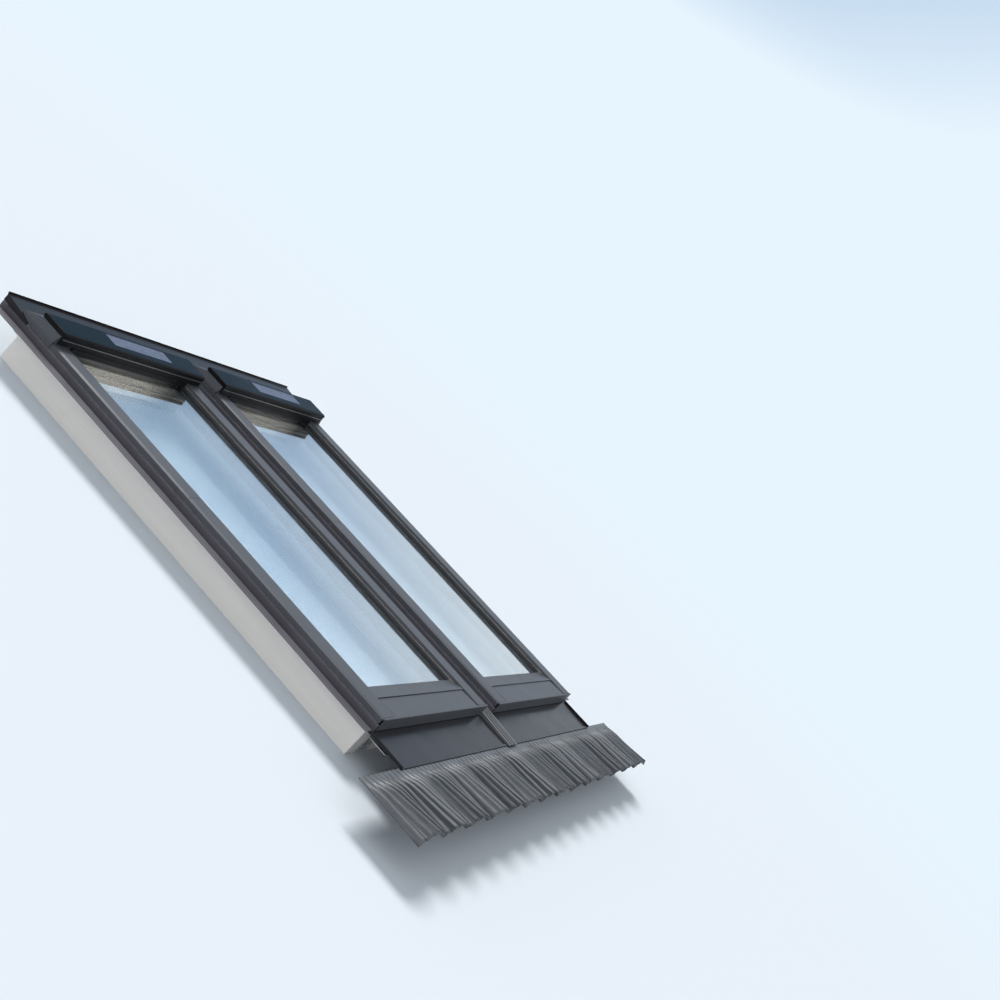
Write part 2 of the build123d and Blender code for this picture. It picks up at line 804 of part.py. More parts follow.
def top_flashing():
    """Sheet above the heads, from under the casings up the slope."""
    line = [
        (frame_length + running_gap, top_flashing_start_z - top_flashing_lip),
        (frame_length + running_gap, top_flashing_start_z),
        (top_flashing_bend_y, top_flashing_bend_z),
        (flashing_top_y - top_flashing_turn, top_flashing_end_z),
        (flashing_top_y, top_flashing_end_z + top_flashing_upturn),
    ]
    reach = half_pair + top_flashing_overhang
    sheet = along_x(folded(line, flashing_sheet, flashing_bend, Side.RIGHT), -reach, reach)
    end_wall = outline([
        (frame_length + running_gap, top_flashing_start_z - top_flashing_lip),
        (frame_length + running_gap, top_flashing_start_z),
        (top_flashing_bend_y, top_flashing_bend_z),
        (flashing_top_y - 2 * top_flashing_turn, top_flashing_end_z),
        (flashing_top_y - 2 * top_flashing_turn, top_flashing_start_z - top_flashing_lip),
    ])
    wall = along_x(end_wall, reach - flashing_sheet, reach)
    return sheet + wall + mirror(wall, about=Plane.YZ)


def apron_sheet(side):
    """Smooth sheet below one window: swept up to its upstand, with a hem and a rolled outer edge."""
    wall_y = -running_gap - flashing_sheet
    top_z = apron_z + apron_upstand
    joint_x = running_gap / 2
    under_z = apron_z - flashing_sheet
    flat = Line((crease_y, apron_z), (apron_sweep_start_y, apron_z))
    sweep = TangentArc(flat @ 1, (apron_sweep_end_y, apron_z + apron_rise), tangent=flat % 1)
    bend = TangentArc(sweep @ 1, (wall_y, apron_z + apron_rise + apron_bend), tangent=sweep % 1)
    wall = Line(bend @ 1, (wall_y, top_z))
    path = Wire([flat.edge(), sweep.edge(), bend.edge(), wall.edge()])
    sheet = along_x(make_face(path.offset_2d(flashing_sheet, side=Side.RIGHT)), half_gutter, half_pair)
    back = Polyline(wall @ 1, (-running_gap, top_z), (-running_gap, under_z),
                    (apron_sweep_start_y, under_z), sweep @ 0)
    corner = make_face([sweep.edge(), bend.edge(), wall.edge()] + list(back.edges()))
    sheet += along_x(corner, half_gutter, half_gutter + flashing_sheet)
    sheet += along_x(corner, half_pair - flashing_sheet, half_pair)
    sheet += block(joint_x, half_gutter, crease_y, -running_gap, under_z, apron_z)
    sheet += block(half_pair, apron_half_width, crease_y, -running_gap, under_z, apron_z)
    hem = block(joint_x, apron_half_width, crease_y, crease_y + crease_hem, apron_z, hem_top_z)
    hem = fillet(hem.edges().filter_by(Axis.X).sort_by(Axis.Z)[-2:], crease_hem_edge)
    bead_z = apron_z + apron_edge_height
    bead_high_y = flashing_run_out_y - running_gap
    edge = block(apron_half_width - flashing_sheet, apron_half_width, crease_y, bead_high_y, under_z, bead_z)
    bead_place = Pos(apron_half_width, (crease_y + bead_high_y) / 2, bead_z) * Rot(90, 0, 0)
    bead = bead_place * Cylinder(apron_bead_radius, bead_high_y - crease_y)
    right_sheet = sheet + hem + edge + bead
    return right_sheet if side > 0 else mirror(right_sheet, about=Plane.YZ)


def skirt_z(x, roll_share, pleat_share, phase):
    """Height of the pleated skirt at one point across the roof."""
    roll = (x / tile_roll_pitch) % 1.0
    dome = 1.0 - (2.0 * roll - 1.0) ** 2
    rolls = roll_share * (tile_roll_height * dome - skirt_valley_drop)
    return skirt_top_z + rolls + pleat_share * pleat_height * phase


def skirt_section(x0, x1, y, roll_share, pleat_share):
    """Closed wavy outline across the skirt at one place down the slope."""
    pleats = round((x1 - x0) / pleat_pitch)
    pitch = (x1 - x0) / pleats
    upper = []
    for index in range(pleats):
        start = x0 + index * pitch
        for share, phase in pleat_profile:
            x = start + share * pitch
            upper.append((x, skirt_z(x, roll_share, pleat_share, phase)))
    upper.append((x1, skirt_z(x1, roll_share, pleat_share, 0.0)))
    lower = [(x, z - skirt_sheet) for x, z in reversed(upper)]
    points = [(x, y, z) for x, z in upper + lower]
    return Wire.make_polygon(points, close=True)


def apron_skirt(x0, x1):
    """Pleated skirt dressed over the roll tiles, flat along its upper edge."""
    sections = [skirt_section(x0, x1, crease_y + skirt_overlap, 0.0, 0.0)]
    for share, roll_share, pleat_share in skirt_stations:
        y = crease_y + share * (skirt_end_y - crease_y)
        sections.append(skirt_section(x0, x1, y, roll_share, pleat_share))
    return Solid.make_loft(sections, ruled=True)


def strip_band(x0, x1, lower_line, rise):
    """Length of the joint strip between a line under it and its path raised by some height."""
    path = [(strip_top_y, strip_top_z), (strip_kink_y, strip_kink_z), (strip_end_y, strip_end_z)]
    points = [(y, z + rise) for y, z in path] + lower_line
    return along_x(outline(points), x0, x1)


def apron_connector():
    """Ribbed channel, open below, that covers the gutter's end and the joint of the apron."""
    under_path = [
        (strip_end_y, strip_end_z - flashing_sheet),
        (strip_kink_y, strip_kink_z - flashing_sheet),
        (strip_top_y, strip_top_z - flashing_sheet),
    ]
    hem_high_y = crease_y + crease_hem + running_gap
    floor_low_y = flashing_run_out_y - running_gap
    feet = [
        (strip_end_y, hem_top_z + running_gap),
        (hem_high_y, hem_top_z + running_gap),
        (hem_high_y, apron_z + running_gap),
        (floor_low_y, apron_z + running_gap),
        (floor_low_y, flashing_floor_z + running_gap),
        (strip_top_y, flashing_floor_z + running_gap),
    ]
    strip = strip_band(-strip_half_width, strip_half_width, under_path, 0.0)
    for edge_x in (-strip_half_width, strip_half_width - flashing_sheet):
        strip += strip_band(edge_x, edge_x + flashing_sheet, feet, 0.0)
    for rib_x in (-strip_rib_spacing, 0.0, strip_rib_spacing):
        x0 = rib_x - strip_rib_width / 2
        strip += strip_band(x0, x0 + strip_rib_width, under_path, strip_rib_height)
    return strip


def window_nodes():
    """All pieces of one window about its own centre line, by name."""
    return {
        "frame_sill": frame_sill(),
        "frame_head": frame_head(),
        "frame_jamb_a": frame_jamb(-1),
        "frame_jamb_b": frame_jamb(1),
        "chain_operator": chain_operator(),
        "upper_covers": upper_covers(),
        "top_casing": top_casing(),
        "solar_hood": solar_hood(),
        "solar_panel": solar_panel(),
        "sash_stile_a": sash_stile(-1),
        "sash_stile_b": sash_stile(1),
        "sash_bottom_rail": sash_bottom_rail(),
        "sash_top_rail": sash_top_rail(),
        "outer_pane": pane(glass_top_z),
        "inner_pane": pane(glass_top_z - pane_thickness - cavity_thickness),
        "pane_spacer": pane_spacer(),
        "glazing_gasket": glazing_gasket(),
        "glass_trim": glass_trim(),
        "lower_covers": lower_covers(),
        "sash_bottom_cover": sash_bottom_cover(),
        "bottom_bead": bottom_bead(),
        "hinge_shoes": hinge_shoes(),
        "vent_flap": vent_flap(),
        "barrel_bolt": barrel_bolt(),
    }


def shared_nodes():
    """Flashing and fixings that both windows share, by name."""
    tracks = []
    brackets = []
    seals = []
    for centre_x in window_centres.values():
        tracks += [Pos(centre_x, 0, 0) * plate for plate in hinge_tracks()]
        brackets += [Pos(centre_x, 0, 0) * bracket for bracket in fixing_brackets()]
        seals += [Pos(centre_x, 0, 0) * seal for seal in frame_seals()]
    return {
        "hinge_tracks": group(tracks),
        "fixing_brackets": group(brackets),
        "frame_seals": group(seals),
        "top_flashing": top_flashing(),
        "side_flashing_left": side_flashing(-1.0),
        "side_flashing_right": side_flashing(1.0),
        "middle_gutter": middle_gutter(),
        "apron_sheet_left": apron_sheet(-1),
        "apron_sheet_right": apron_sheet(1),
        "apron_skirt_left": apron_skirt(-skirt_half_width, skirt_lap_x),
        "apron_skirt_right": apron_skirt(skirt_lap_x + running_gap, skirt_half_width),
        "apron_connector": apron_connector(),
    }


def main():
    """Write every piece to its own STEP file."""
    os.makedirs("parts", exist_ok=True)
    for side, centre_x in window_centres.items():
        for name, piece in window_nodes().items():
            export_step(to_rest * Pos(centre_x, 0, 0) * piece, f"parts/{side}_{name}.step")
    for name, piece in shared_nodes().items():
        export_step(to_rest * piece, f"parts/{name}.step")


main()
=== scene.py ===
"""Finishes and small pieces for a pair of centre-pivot roof windows in one flashing."""

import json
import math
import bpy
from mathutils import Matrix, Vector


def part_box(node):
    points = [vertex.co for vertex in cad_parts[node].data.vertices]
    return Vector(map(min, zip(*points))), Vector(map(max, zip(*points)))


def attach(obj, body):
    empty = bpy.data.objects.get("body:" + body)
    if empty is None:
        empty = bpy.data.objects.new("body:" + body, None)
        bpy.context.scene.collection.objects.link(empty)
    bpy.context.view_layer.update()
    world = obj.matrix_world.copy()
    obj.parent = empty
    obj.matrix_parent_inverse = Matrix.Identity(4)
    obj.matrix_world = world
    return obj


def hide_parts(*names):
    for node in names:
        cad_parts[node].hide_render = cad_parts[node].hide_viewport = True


bl_info = {
    "name": "Twin roof window finish",
    "version": (1, 0, 0),
    "blender": (4, 5, 0),
    "location": "View3D > Sidebar > Roof window",
    "description": "Finishes, skirt, solar cells, fasteners and stage of a twin roof window",
    "category": "Object",
}

import bmesh
import bpy
from bpy.props import FloatProperty, FloatVectorProperty, IntProperty, PointerProperty
from mathutils import Matrix, Vector

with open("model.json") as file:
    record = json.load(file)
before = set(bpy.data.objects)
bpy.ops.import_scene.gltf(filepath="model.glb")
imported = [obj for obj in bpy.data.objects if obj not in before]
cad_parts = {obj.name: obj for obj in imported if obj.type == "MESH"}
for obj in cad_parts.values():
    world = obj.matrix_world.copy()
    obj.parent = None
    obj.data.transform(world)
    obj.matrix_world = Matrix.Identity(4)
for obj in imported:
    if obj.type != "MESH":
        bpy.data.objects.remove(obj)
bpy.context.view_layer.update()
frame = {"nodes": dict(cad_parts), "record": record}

NODES = frame["nodes"]
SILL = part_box("left_frame_sill")
CENTRES = {
    side: (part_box(f"{side}_frame_sill")[0].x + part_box(f"{side}_frame_sill")[1].x) / 2
    for side in ("left", "right")
}
ENDS = {"a": -1.0, "b": 1.0}
FIXED = "fixed_unit"
# Name of the mask of painted shade in the grooves between the skirt's pleats.
GROOVE_SHADE_NAME = "groove_shade"

FRAME_DEPTH = 0.130
FRAME_LENGTH = 1.404
PIVOT_Y = 0.740

EVEN = (1.0, 1.0, 1.0)
POWDER_DEPTH = 0.000004
WAVE_DEPTH = 0.0008
CRINKLE_DEPTH = 0.0004
WOOD_GRAIN_DEPTH = 0.00003
BRUSH_DEPTH = 0.00002
DENT_DEPTH = 0.001

DUST = (0.28, 0.265, 0.25, 1.0)
SCUFF = (0.30, 0.30, 0.295, 1.0)
# Painted shade for the grooves between the skirt's pleats.
PAINTED_GROOVE_SHADE = (0.010, 0.010, 0.011, 1.0)
AGED_PAINT = (0.80, 0.77, 0.70, 1.0)
CELL_LINE = (0.40, 0.43, 0.47, 1.0)

SUN_COLOUR = (1.0, 0.985, 0.96)
SUN_DIRECTION = (0.38, 0.58, 0.72)
ROOM_COLOUR = (1.0, 0.93, 0.85)
CAMERA_PLACE = (-4.2811, -0.8451, 1.1419)
CAMERA_AXES = (
    (0.30678, -0.66582, 0.68013),
    (-0.08001, 0.69401, 0.71550),
    (-0.94841, -0.27392, 0.15963),
)


def at(x, y, z):
    """Point in the row frame, counted from the sill's lower edge and the covers' top face."""
    return Vector((x, SILL[0].y + y, SILL[0].z + FRAME_DEPTH + z))


def rgba(colour):
    """Colour with full alpha."""
    return (colour[0], colour[1], colour[2], 1.0)


def tinted(colour, factor):
    """Colour made lighter or darker."""
    return tuple(min(1.0, part * factor) for part in colour)


class Graph:
    """Adds nodes to a material, world or geometry tree."""

    def __init__(self, tree):
        self.tree = tree
        self.output = None

    def feed(self, socket, value):
        """Link a socket to an input, or set the input's own value."""
        if isinstance(value, bpy.types.NodeSocket):
            self.tree.links.new(value, socket)
        elif value is not None:
            socket.default_value = value

    def add(self, kind, inputs=None, **settings):
        """New node with its settings, and its inputs by name or number."""
        node = self.tree.nodes.new(kind)
        for name, value in settings.items():
            setattr(node, name, value)
        for name, value in (inputs or {}).items():
            self.feed(node.inputs[name], value)
        return node

    def math(self, operation, *terms):
        """Result of one Math node."""
        node = self.add("ShaderNodeMath", operation=operation)
        for socket, term in zip(node.inputs, terms):
            self.feed(socket, term)
        return node.outputs[0]

    def times(self, *terms):
        """Product of two terms, plus a third where it is given."""
        return self.math("MULTIPLY_ADD" if len(terms) > 2 else "MULTIPLY", *terms)

    def zigzag(self, value):
        """1 where the value is a whole number and 0 half-way between two."""
        return self.math("ABSOLUTE", self.times(self.math("FRACT", value), 2.0, -1.0))

    def ramp(self, value, low, high, start=0.0, end=1.0, kind="LINEAR"):
        """Ramp of a value between two limits."""
        return self.add("ShaderNodeMapRange", {0: value, 1: low, 2: high, 3: start, 4: end},
                        interpolation_type=kind).outputs[0]

    def smooth(self, *terms):
        """Smooth step of a value between two limits."""
        return self.ramp(*terms, kind="SMOOTHSTEP")

    def axes(self, vector):
        """X, Y and Z of a vector."""
        return tuple(self.add("ShaderNodeSeparateXYZ", {0: vector}).outputs)

    def object_space(self, scale=EVEN):
        """Object coordinates, stretched by a scale for each axis."""
        source = self.add("ShaderNodeTexCoord").outputs["Object"]
        return self.add("ShaderNodeMapping", {"Vector": source, "Scale": scale}).outputs[0]

    def noise(self, scale, detail, roughness=0.55, stretch=EVEN):
        """Noise at a number of features per metre, longer along an axis with a small stretch."""
        return self.add("ShaderNodeTexNoise", {
            "Vector": self.object_space(stretch), "Scale": scale, "Detail": detail,
            "Roughness": roughness}).outputs["Fac"]

    def blend(self, factor, first, second):
        """Mix of two colours."""
        return self.add("ShaderNodeMix", {0: factor, 6: first, 7: second},
                        data_type="RGBA").outputs[2]

    def shades(self, factor, colour, first, second):
        """Mix of two lighter or darker shades of a colour."""
        return self.blend(factor, rgba(tinted(colour, first)), rgba(tinted(colour, second)))

    def bump(self, height, depth, under=None):
        """Bump of a height between 0 and 1 over a depth in metres."""
        return self.add("ShaderNodeBump", {"Height": height, "Distance": depth, "Strength": 1.0,
                                           "Normal": under}).outputs[0]

    def surface(self, shader, tone, roughness=None, normal=None):
        """Feed a shader's colour, roughness and normal."""
        self.feed(shader.inputs["Base Color"], tone)
        self.feed(shader.inputs["Roughness"], roughness)
        self.feed(shader.inputs["Normal"], normal)


def shader_graph(name, **uniform):
    """New material with one Principled shader and its uniform values, and its graph."""
    material = bpy.data.materials.new(name)
    material.use_nodes = True
    material.node_tree.nodes.clear()
    graph = Graph(material.node_tree)
    shader = graph.add("ShaderNodeBsdfPrincipled")
    for key, value in uniform.items():
        shader.inputs[key.replace("_", " ").title().replace("Ior", "IOR")].default_value = value
    graph.output = graph.add("ShaderNodeOutputMaterial").inputs["Surface"]
    graph.feed(graph.output, shader.outputs[0])
    return material, graph, shader


def coated_sheet(name, colour, roughness, streaks=0.04, dust=0.08, shine=0.35):
    """Coated sheet metal: powder grain, mottling, rain streaks down the slope and dust."""
    material, graph, shader = shader_graph(name, specular_ior_level=shine)
    mottling = graph.noise(9.0, 4.0)
    streak = graph.noise(75.0, 5.0, 0.62, (1.0, 0.045, 1.0))
    speck = graph.noise(420.0, 2.0)
    tone = graph.shades(graph.smooth(mottling, 0.35, 0.65), colour, 0.94, 1.06)
    lighter = rgba(tuple(part * 0.80 + 0.12 for part in colour))
    tone = graph.blend(graph.smooth(streak, 0.50, 0.78, 0.0, streaks), tone, lighter)
    settled = graph.smooth(mottling, 0.45, 0.70, 0.0, dust)
    tone = graph.blend(graph.times(graph.smooth(speck, 0.60, 0.74), settled), tone, DUST)
    gloss = graph.smooth(mottling, 0.30, 0.70, roughness - 0.05, roughness + 0.05)
    powder = graph.noise(700.0, 2.0)
    waviness = graph.bump(graph.noise(5.0, 1.0, stretch=(1.0, 0.35, 1.0)), WAVE_DEPTH)
    graph.surface(shader, tone, gloss, graph.bump(powder, POWDER_DEPTH, waviness))
    return material


def pleated_sheet(name, colour, roughness):
    """Soft coated sheet with crinkles, pale scuffs along its pleats and painted shade in its
    grooves.
    """
    material, graph, shader = shader_graph(name, metallic=0.15)
    scuff = graph.noise(130.0, 5.0, 0.65, (1.0, 0.16, 1.0))
    cloud = graph.noise(16.0, 3.0)
    tone = graph.shades(graph.smooth(scuff, 0.38, 0.72), colour, 1.35, 1.8)
    tone = graph.blend(graph.smooth(cloud, 0.50, 0.80, 0.0, 0.10), tone, SCUFF)
    groove_shade = graph.add("ShaderNodeAttribute", attribute_type="GEOMETRY", attribute_name=GROOVE_SHADE_NAME)
    # Painted shade: the grooves between the pleats are darkened in the colour.
    tone = graph.blend(graph.times(groove_shade.outputs["Fac"], 0.6), tone, PAINTED_GROOVE_SHADE)
    gloss = graph.smooth(scuff, 0.30, 0.70, roughness - 0.06, roughness + 0.08)
    crinkle = graph.noise(150.0, 4.0, 0.6, (1.0, 0.35, 1.0))
    graph.surface(shader, tone, gloss, graph.bump(crinkle, CRINKLE_DEPTH))
    return material


def painted_wood(name, colour, along):
    """White paint over timber, with faint brush lines and raised grain along the member."""
    material, graph, shader = shader_graph(name, specular_ior_level=0.45)
    stretch = (0.03, 1.0, 1.0) if along == "X" else (1.0, 0.03, 1.0)
    grain = graph.noise(120.0, 2.0, 0.5, stretch)
    patch = graph.noise(5.0, 3.0)
    tone = graph.shades(graph.smooth(grain, 0.35, 0.70), colour, 0.965, 1.0)
    tone = graph.blend(graph.smooth(patch, 0.50, 0.80, 0.0, 0.18), tone, AGED_PAINT)
    gloss = graph.smooth(grain, 0.3, 0.7, 0.38, 0.44)
    graph.surface(shader, tone, gloss, graph.bump(grain, WOOD_GRAIN_DEPTH))
    return material


def brushed_metal(name, colour, roughness):
    """Bare metal with fine upright lines and a little tarnish."""
    material, graph, shader = shader_graph(name, metallic=1.0)
    lines = graph.noise(1400.0, 3.0, 0.6, (1.0, 1.0, 0.1))
    tarnish = graph.noise(60.0, 4.0)
    tone = graph.shades(graph.smooth(tarnish, 0.40, 0.75), colour, 1.0, 0.78)
    gloss = graph.smooth(lines, 0.3, 0.7, roughness - 0.07, roughness + 0.09)
    graph.surface(shader, tone, gloss, graph.bump(lines, BRUSH_DEPTH))
    return material


def moulded_plastic(name, colour, roughness, texture=900.0, depth=0.00004, shine=0.5):
    """Moulded plastic, rubber or smooth coat with a fine texture and light handling marks."""
    material, graph, shader = shader_graph(name, specular_ior_level=shine)
    spark = graph.noise(texture, 2.0)
    wipe = graph.noise(12.0, 3.0, stretch=(0.4, 1.0, 1.0))
    worn = rgba(tuple(0.95 * part + 0.003 for part in colour))
    tone = graph.blend(graph.smooth(wipe, 0.42, 0.72), rgba(colour), worn)
    gloss = graph.smooth(wipe, 0.3, 0.7, roughness - 0.05, roughness + 0.06)
    graph.surface(shader, tone, gloss, graph.bump(spark, depth))
    return material


def dust_and_painted_reflection_streaks(graph):
    """Dust haze on an outer pane that also paints in whitish reflection streaks: long streaks
    beside its middle that fade out below its top.
    """
    x, y, _ = graph.axes(graph.object_space())
    beside = graph.times(graph.math("SIGN", x), -abs(CENTRES["left"]), x)
    wide = graph.times(graph.smooth(beside, -0.06, 0.10), graph.smooth(beside, 0.30, 0.24))
    narrow = graph.times(graph.smooth(beside, 0.10, 0.16), graph.smooth(beside, 0.28, 0.22))
    run = graph.times(wide, 0.25, graph.times(narrow, 0.75))
    fine = graph.noise(24.0, 3.0, 0.5, (1.0, 0.08, 1.0))
    dust = graph.times(run, graph.smooth(fine, 0.30, 0.65, 0.45, 1.0))
    return graph.times(dust, graph.smooth(y, 0.63, 0.52))


def window_glass(name, colour, haze=0.0):
    """Clear pane with a mirror coat and a faint film, which lets the lamps' light through."""
    material, graph, shader = shader_graph(name, transmission_weight=1.0, ior=1.52,
                                           coat_weight=1.0, coat_roughness=0.0, roughness=0.0)
    film = graph.noise(14.0, 5.0, stretch=(1.0, 0.3, 1.0))
    graph.surface(shader, graph.shades(graph.smooth(film, 0.4, 0.8), colour, 1.0, 0.97))
    if haze:
        # Where the streaks lie the pane scatters whitish light: dust haze and painted reflection.
        clearness = graph.ramp(dust_and_painted_reflection_streaks(graph), 0.0, 1.0, 1.0, 1.0 - haze)
        graph.feed(shader.inputs["Transmission Weight"], clearness)
    lamp_ray = graph.add("ShaderNodeLightPath").outputs["Is Shadow Ray"]
    clear = graph.add("ShaderNodeBsdfTransparent", {"Color": rgba(colour)})
    mix = graph.add("ShaderNodeMixShader",
                    {0: lamp_ray, 1: shader.outputs[0], 2: clear.outputs[0]})
    graph.feed(graph.output, mix.outputs[0])
    return material


def cell_surface(name, colour):
    """Solar cells: deep blue silicon with fine printed fingers and three wider bus lines."""
    material, graph, shader = shader_graph(name, roughness=0.45, specular_ior_level=0.02)
    x, y, _ = graph.axes(graph.add("ShaderNodeTexCoord").outputs["Object"])

    def stripes(place, per_metre, share):
        return graph.math("LESS_THAN", graph.math("FRACT", graph.times(place, per_metre)), share)

    finger = graph.times(stripes(x, 420.0, 0.12), 0.15)
    bus = graph.times(stripes(y, 64.0, 0.07), 0.35)
    crystal = graph.noise(45.0, 2.0)
    tone = graph.shades(graph.smooth(crystal, 0.4, 0.6), colour, 1.0, 1.18)
    graph.surface(shader, graph.blend(graph.math("MAXIMUM", finger, bus), tone, CELL_LINE))
    return material


def all_materials(settings):
    """Every material of the object, by the name of its finish."""
    cladding = settings.cladding_colour
    flashing = settings.flashing_colour
    matt = settings.cladding_roughness
    # Painted shade: the sloping bottom bead gets a darker copy of the cladding coat.
    painted_shade_bead = tinted(cladding, 0.86)
    # Painted light: the channels lie in the covers' shade and get a much lighter copy of the
    # flashing coat.
    painted_light_channel = tinted(flashing, 3.8)
    return {
        "cladding": coated_sheet("cladding_coat", cladding, matt, dust=0.03, shine=0.2),
        "painted_shade_bead": coated_sheet("bead_coat_painted_shade", painted_shade_bead, matt, dust=0.03, shine=0.2),
        "flashing": coated_sheet("flashing_coat", flashing, matt - 0.26, streaks=0.01,
                                 dust=0.02, shine=0.08),
        "painted_light_channel": coated_sheet("channel_coat_painted_light", painted_light_channel, matt),
        "joint_strip": coated_sheet("strip_coat", settings.strip_colour, 0.42),
        "skirt": pleated_sheet("skirt_sheet", settings.skirt_colour, 0.42),
        "painted_timber": painted_wood("white_paint_slope", settings.paint_colour, "Y"),
        "painted_timber_across": painted_wood("white_paint_across", settings.paint_colour, "X"),
        "operator_housing": moulded_plastic("white_housing", (0.74, 0.74, 0.72), 0.45),
        "flap_metal": moulded_plastic("white_flap_coat", (0.80, 0.80, 0.785), 0.36,
                                      depth=0.00002),
        "grey_plastic": moulded_plastic("grey_end_cap", (0.30, 0.30, 0.305), 0.42),
        "dark_plastic": moulded_plastic("dark_foot", (0.055, 0.057, 0.062), 0.45),
        # Painted highlight: a lighter strip along each hood's ridge.
        "ridge_painted_highlight": moulded_plastic("ridge_highlight_paint", (0.13, 0.12, 0.115), 0.35, depth=0.000004),
        # Painted shade: near-black plates stand in for the open ventilation slots.
        "slot_painted_shade": moulded_plastic("slot_painted_shade", (0.02, 0.02, 0.02), 0.6),
        "hood_black": moulded_plastic("hood_satin", settings.hood_colour, 0.42, texture=300.0,
                                      depth=0.000004, shine=0.05),
        "solar_panel": moulded_plastic("panel_face", settings.panel_colour, 0.30,
                                       depth=0.00001, shine=0.01),
        "cells": cell_surface("solar_cells", settings.cell_colour),
        "seal_rubber": moulded_plastic("black_seal", (0.018, 0.018, 0.018), 0.55),
        "trim_metal": coated_sheet("trim_coat", (0.075, 0.077, 0.084), 0.45),
        "spacer": coated_sheet("spacer_coat", (0.14, 0.14, 0.14), 0.45),
        "fitting_steel": brushed_metal("zinc_steel", (0.58, 0.58, 0.57), 0.36),
        "clear_glass": window_glass("inner_pane_glass", settings.glass_colour),
        "outer_glass": window_glass("outer_pane_glass", settings.glass_colour,
                                    settings.glass_haze_and_painted_reflection),
    }


def finish(key):
    """Material already made for a finish."""
    names = bpy.context.scene["roof_window_finishes"]
    return bpy.data.materials[names[key]]


def new_object(name, data):
    """Object with this data in the scene."""
    item = bpy.data.objects.new(name, data)
    bpy.context.scene.collection.objects.link(item)
    return item


def new_piece(name, build, material, bevel=0.0):
    """Object whose mesh a bmesh function fills, with one material and an optional bevel."""
    mesh = bpy.data.meshes.new(name)
    shape = bmesh.new()
    build(shape)
    bmesh.ops.recalc_face_normals(shape, faces=shape.faces)
    shape.to_mesh(mesh)
    shape.free()
    mesh.materials.append(finish(material))
    piece = new_object(name, mesh)
    if bevel:
        edge = piece.modifiers.new("Soft edges", "BEVEL")
        edge.width = bevel
        edge.segments = 2
        edge.limit_method = "ANGLE"
    return piece


def ride(piece, body, smooth=False):
    """Put a finished piece on its body, with smooth shading where asked."""
    if smooth:
        piece.data.polygons.foreach_set("use_smooth", [True] * len(piece.data.polygons))
    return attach(piece, body)


def add_box(shape, low, high):
    """Closed box between two corners."""
    corners = [shape.verts.new((x, y, z)) for x in (low[0], high[0])
               for y in (low[1], high[1]) for z in (low[2], high[2])]
    for face in ((0, 1, 3, 2), (4, 6, 7, 5), (0, 4, 5, 1),
                 (2, 3, 7, 6), (0, 2, 6, 4), (1, 5, 7, 3)):
        shape.faces.new([corners[index] for index in face])


def add_prism(shape, profile, start, end):
    """Closed prism: a profile of Y and Z pairs run along X between two places."""
    first = [shape.verts.new((start, y, z)) for y, z in profile]
    last = [shape.verts.new((end, y, z)) for y, z in profile]
    shape.faces.new(first)
    shape.faces.new(list(reversed(last)))
    for index in range(len(profile)):
        after = (index + 1) % len(profile)
        shape.faces.new((first[index], last[index], last[after], first[after]))


def arc(centre, radius, start_deg, end_deg, steps):
    """Points on an arc, both ends included."""
    points = []
    for index in range(steps + 1):
        angle = math.radians(start_deg + (end_deg - start_deg) * index / steps)
        points.append((centre[0] + radius * math.cos(angle),
                       centre[1] + radius * math.sin(angle)))
    return points


def geometry_tree(name, sizes):
    """New geometry tree with named inputs; returns its graph, group input and group output."""
    tree = bpy.data.node_groups.new(name, "GeometryNodeTree")
    tree.interface.new_socket("Geometry", in_out="INPUT", socket_type="NodeSocketGeometry")
    for label, kind, default in sizes:
        socket = tree.interface.new_socket(label, in_out="INPUT", socket_type=f"NodeSocket{kind}")
        if default is not None:
            socket.default_value = default
    tree.interface.new_socket("Geometry", in_out="OUTPUT", socket_type="NodeSocketGeometry")
    graph = Graph(tree)
    return graph, graph.add("NodeGroupInput").outputs, graph.add("NodeGroupOutput").inputs


def close_tree(graph, geometry, material, result):
    """Make a tree's copies real, give them their material and hand them out."""
    real = graph.add("GeometryNodeRealizeInstances", {"Geometry": geometry})
    painted = graph.add("GeometryNodeSetMaterial",
                        {"Geometry": real.outputs[0], "Material": material})
    graph.feed(result[0], painted.outputs[0])
    return graph.tree


def grown(name, tree, values, points=()):
    """Plain mesh piece that a geometry tree grows from some points with these input values."""
    seed = bpy.data.meshes.new(name)
    seed.from_pydata([tuple(point) for point in points], [], [])
    carrier = new_object(name, seed)
    modifier = carrier.modifiers.new("Growth", "NODES")
    modifier.node_group = tree
    for item in tree.interface.items_tree:
        if item.in_out == "INPUT" and item.name in values:
            modifier[item.identifier] = values[item.name]
    graph = bpy.context.evaluated_depsgraph_get()
    mesh = bpy.data.meshes.new_from_object(carrier.evaluated_get(graph))
    carrier.modifiers.remove(modifier)
    carrier.data = mesh
    mesh.name = name
    bpy.data.meshes.remove(seed)
    return carrier


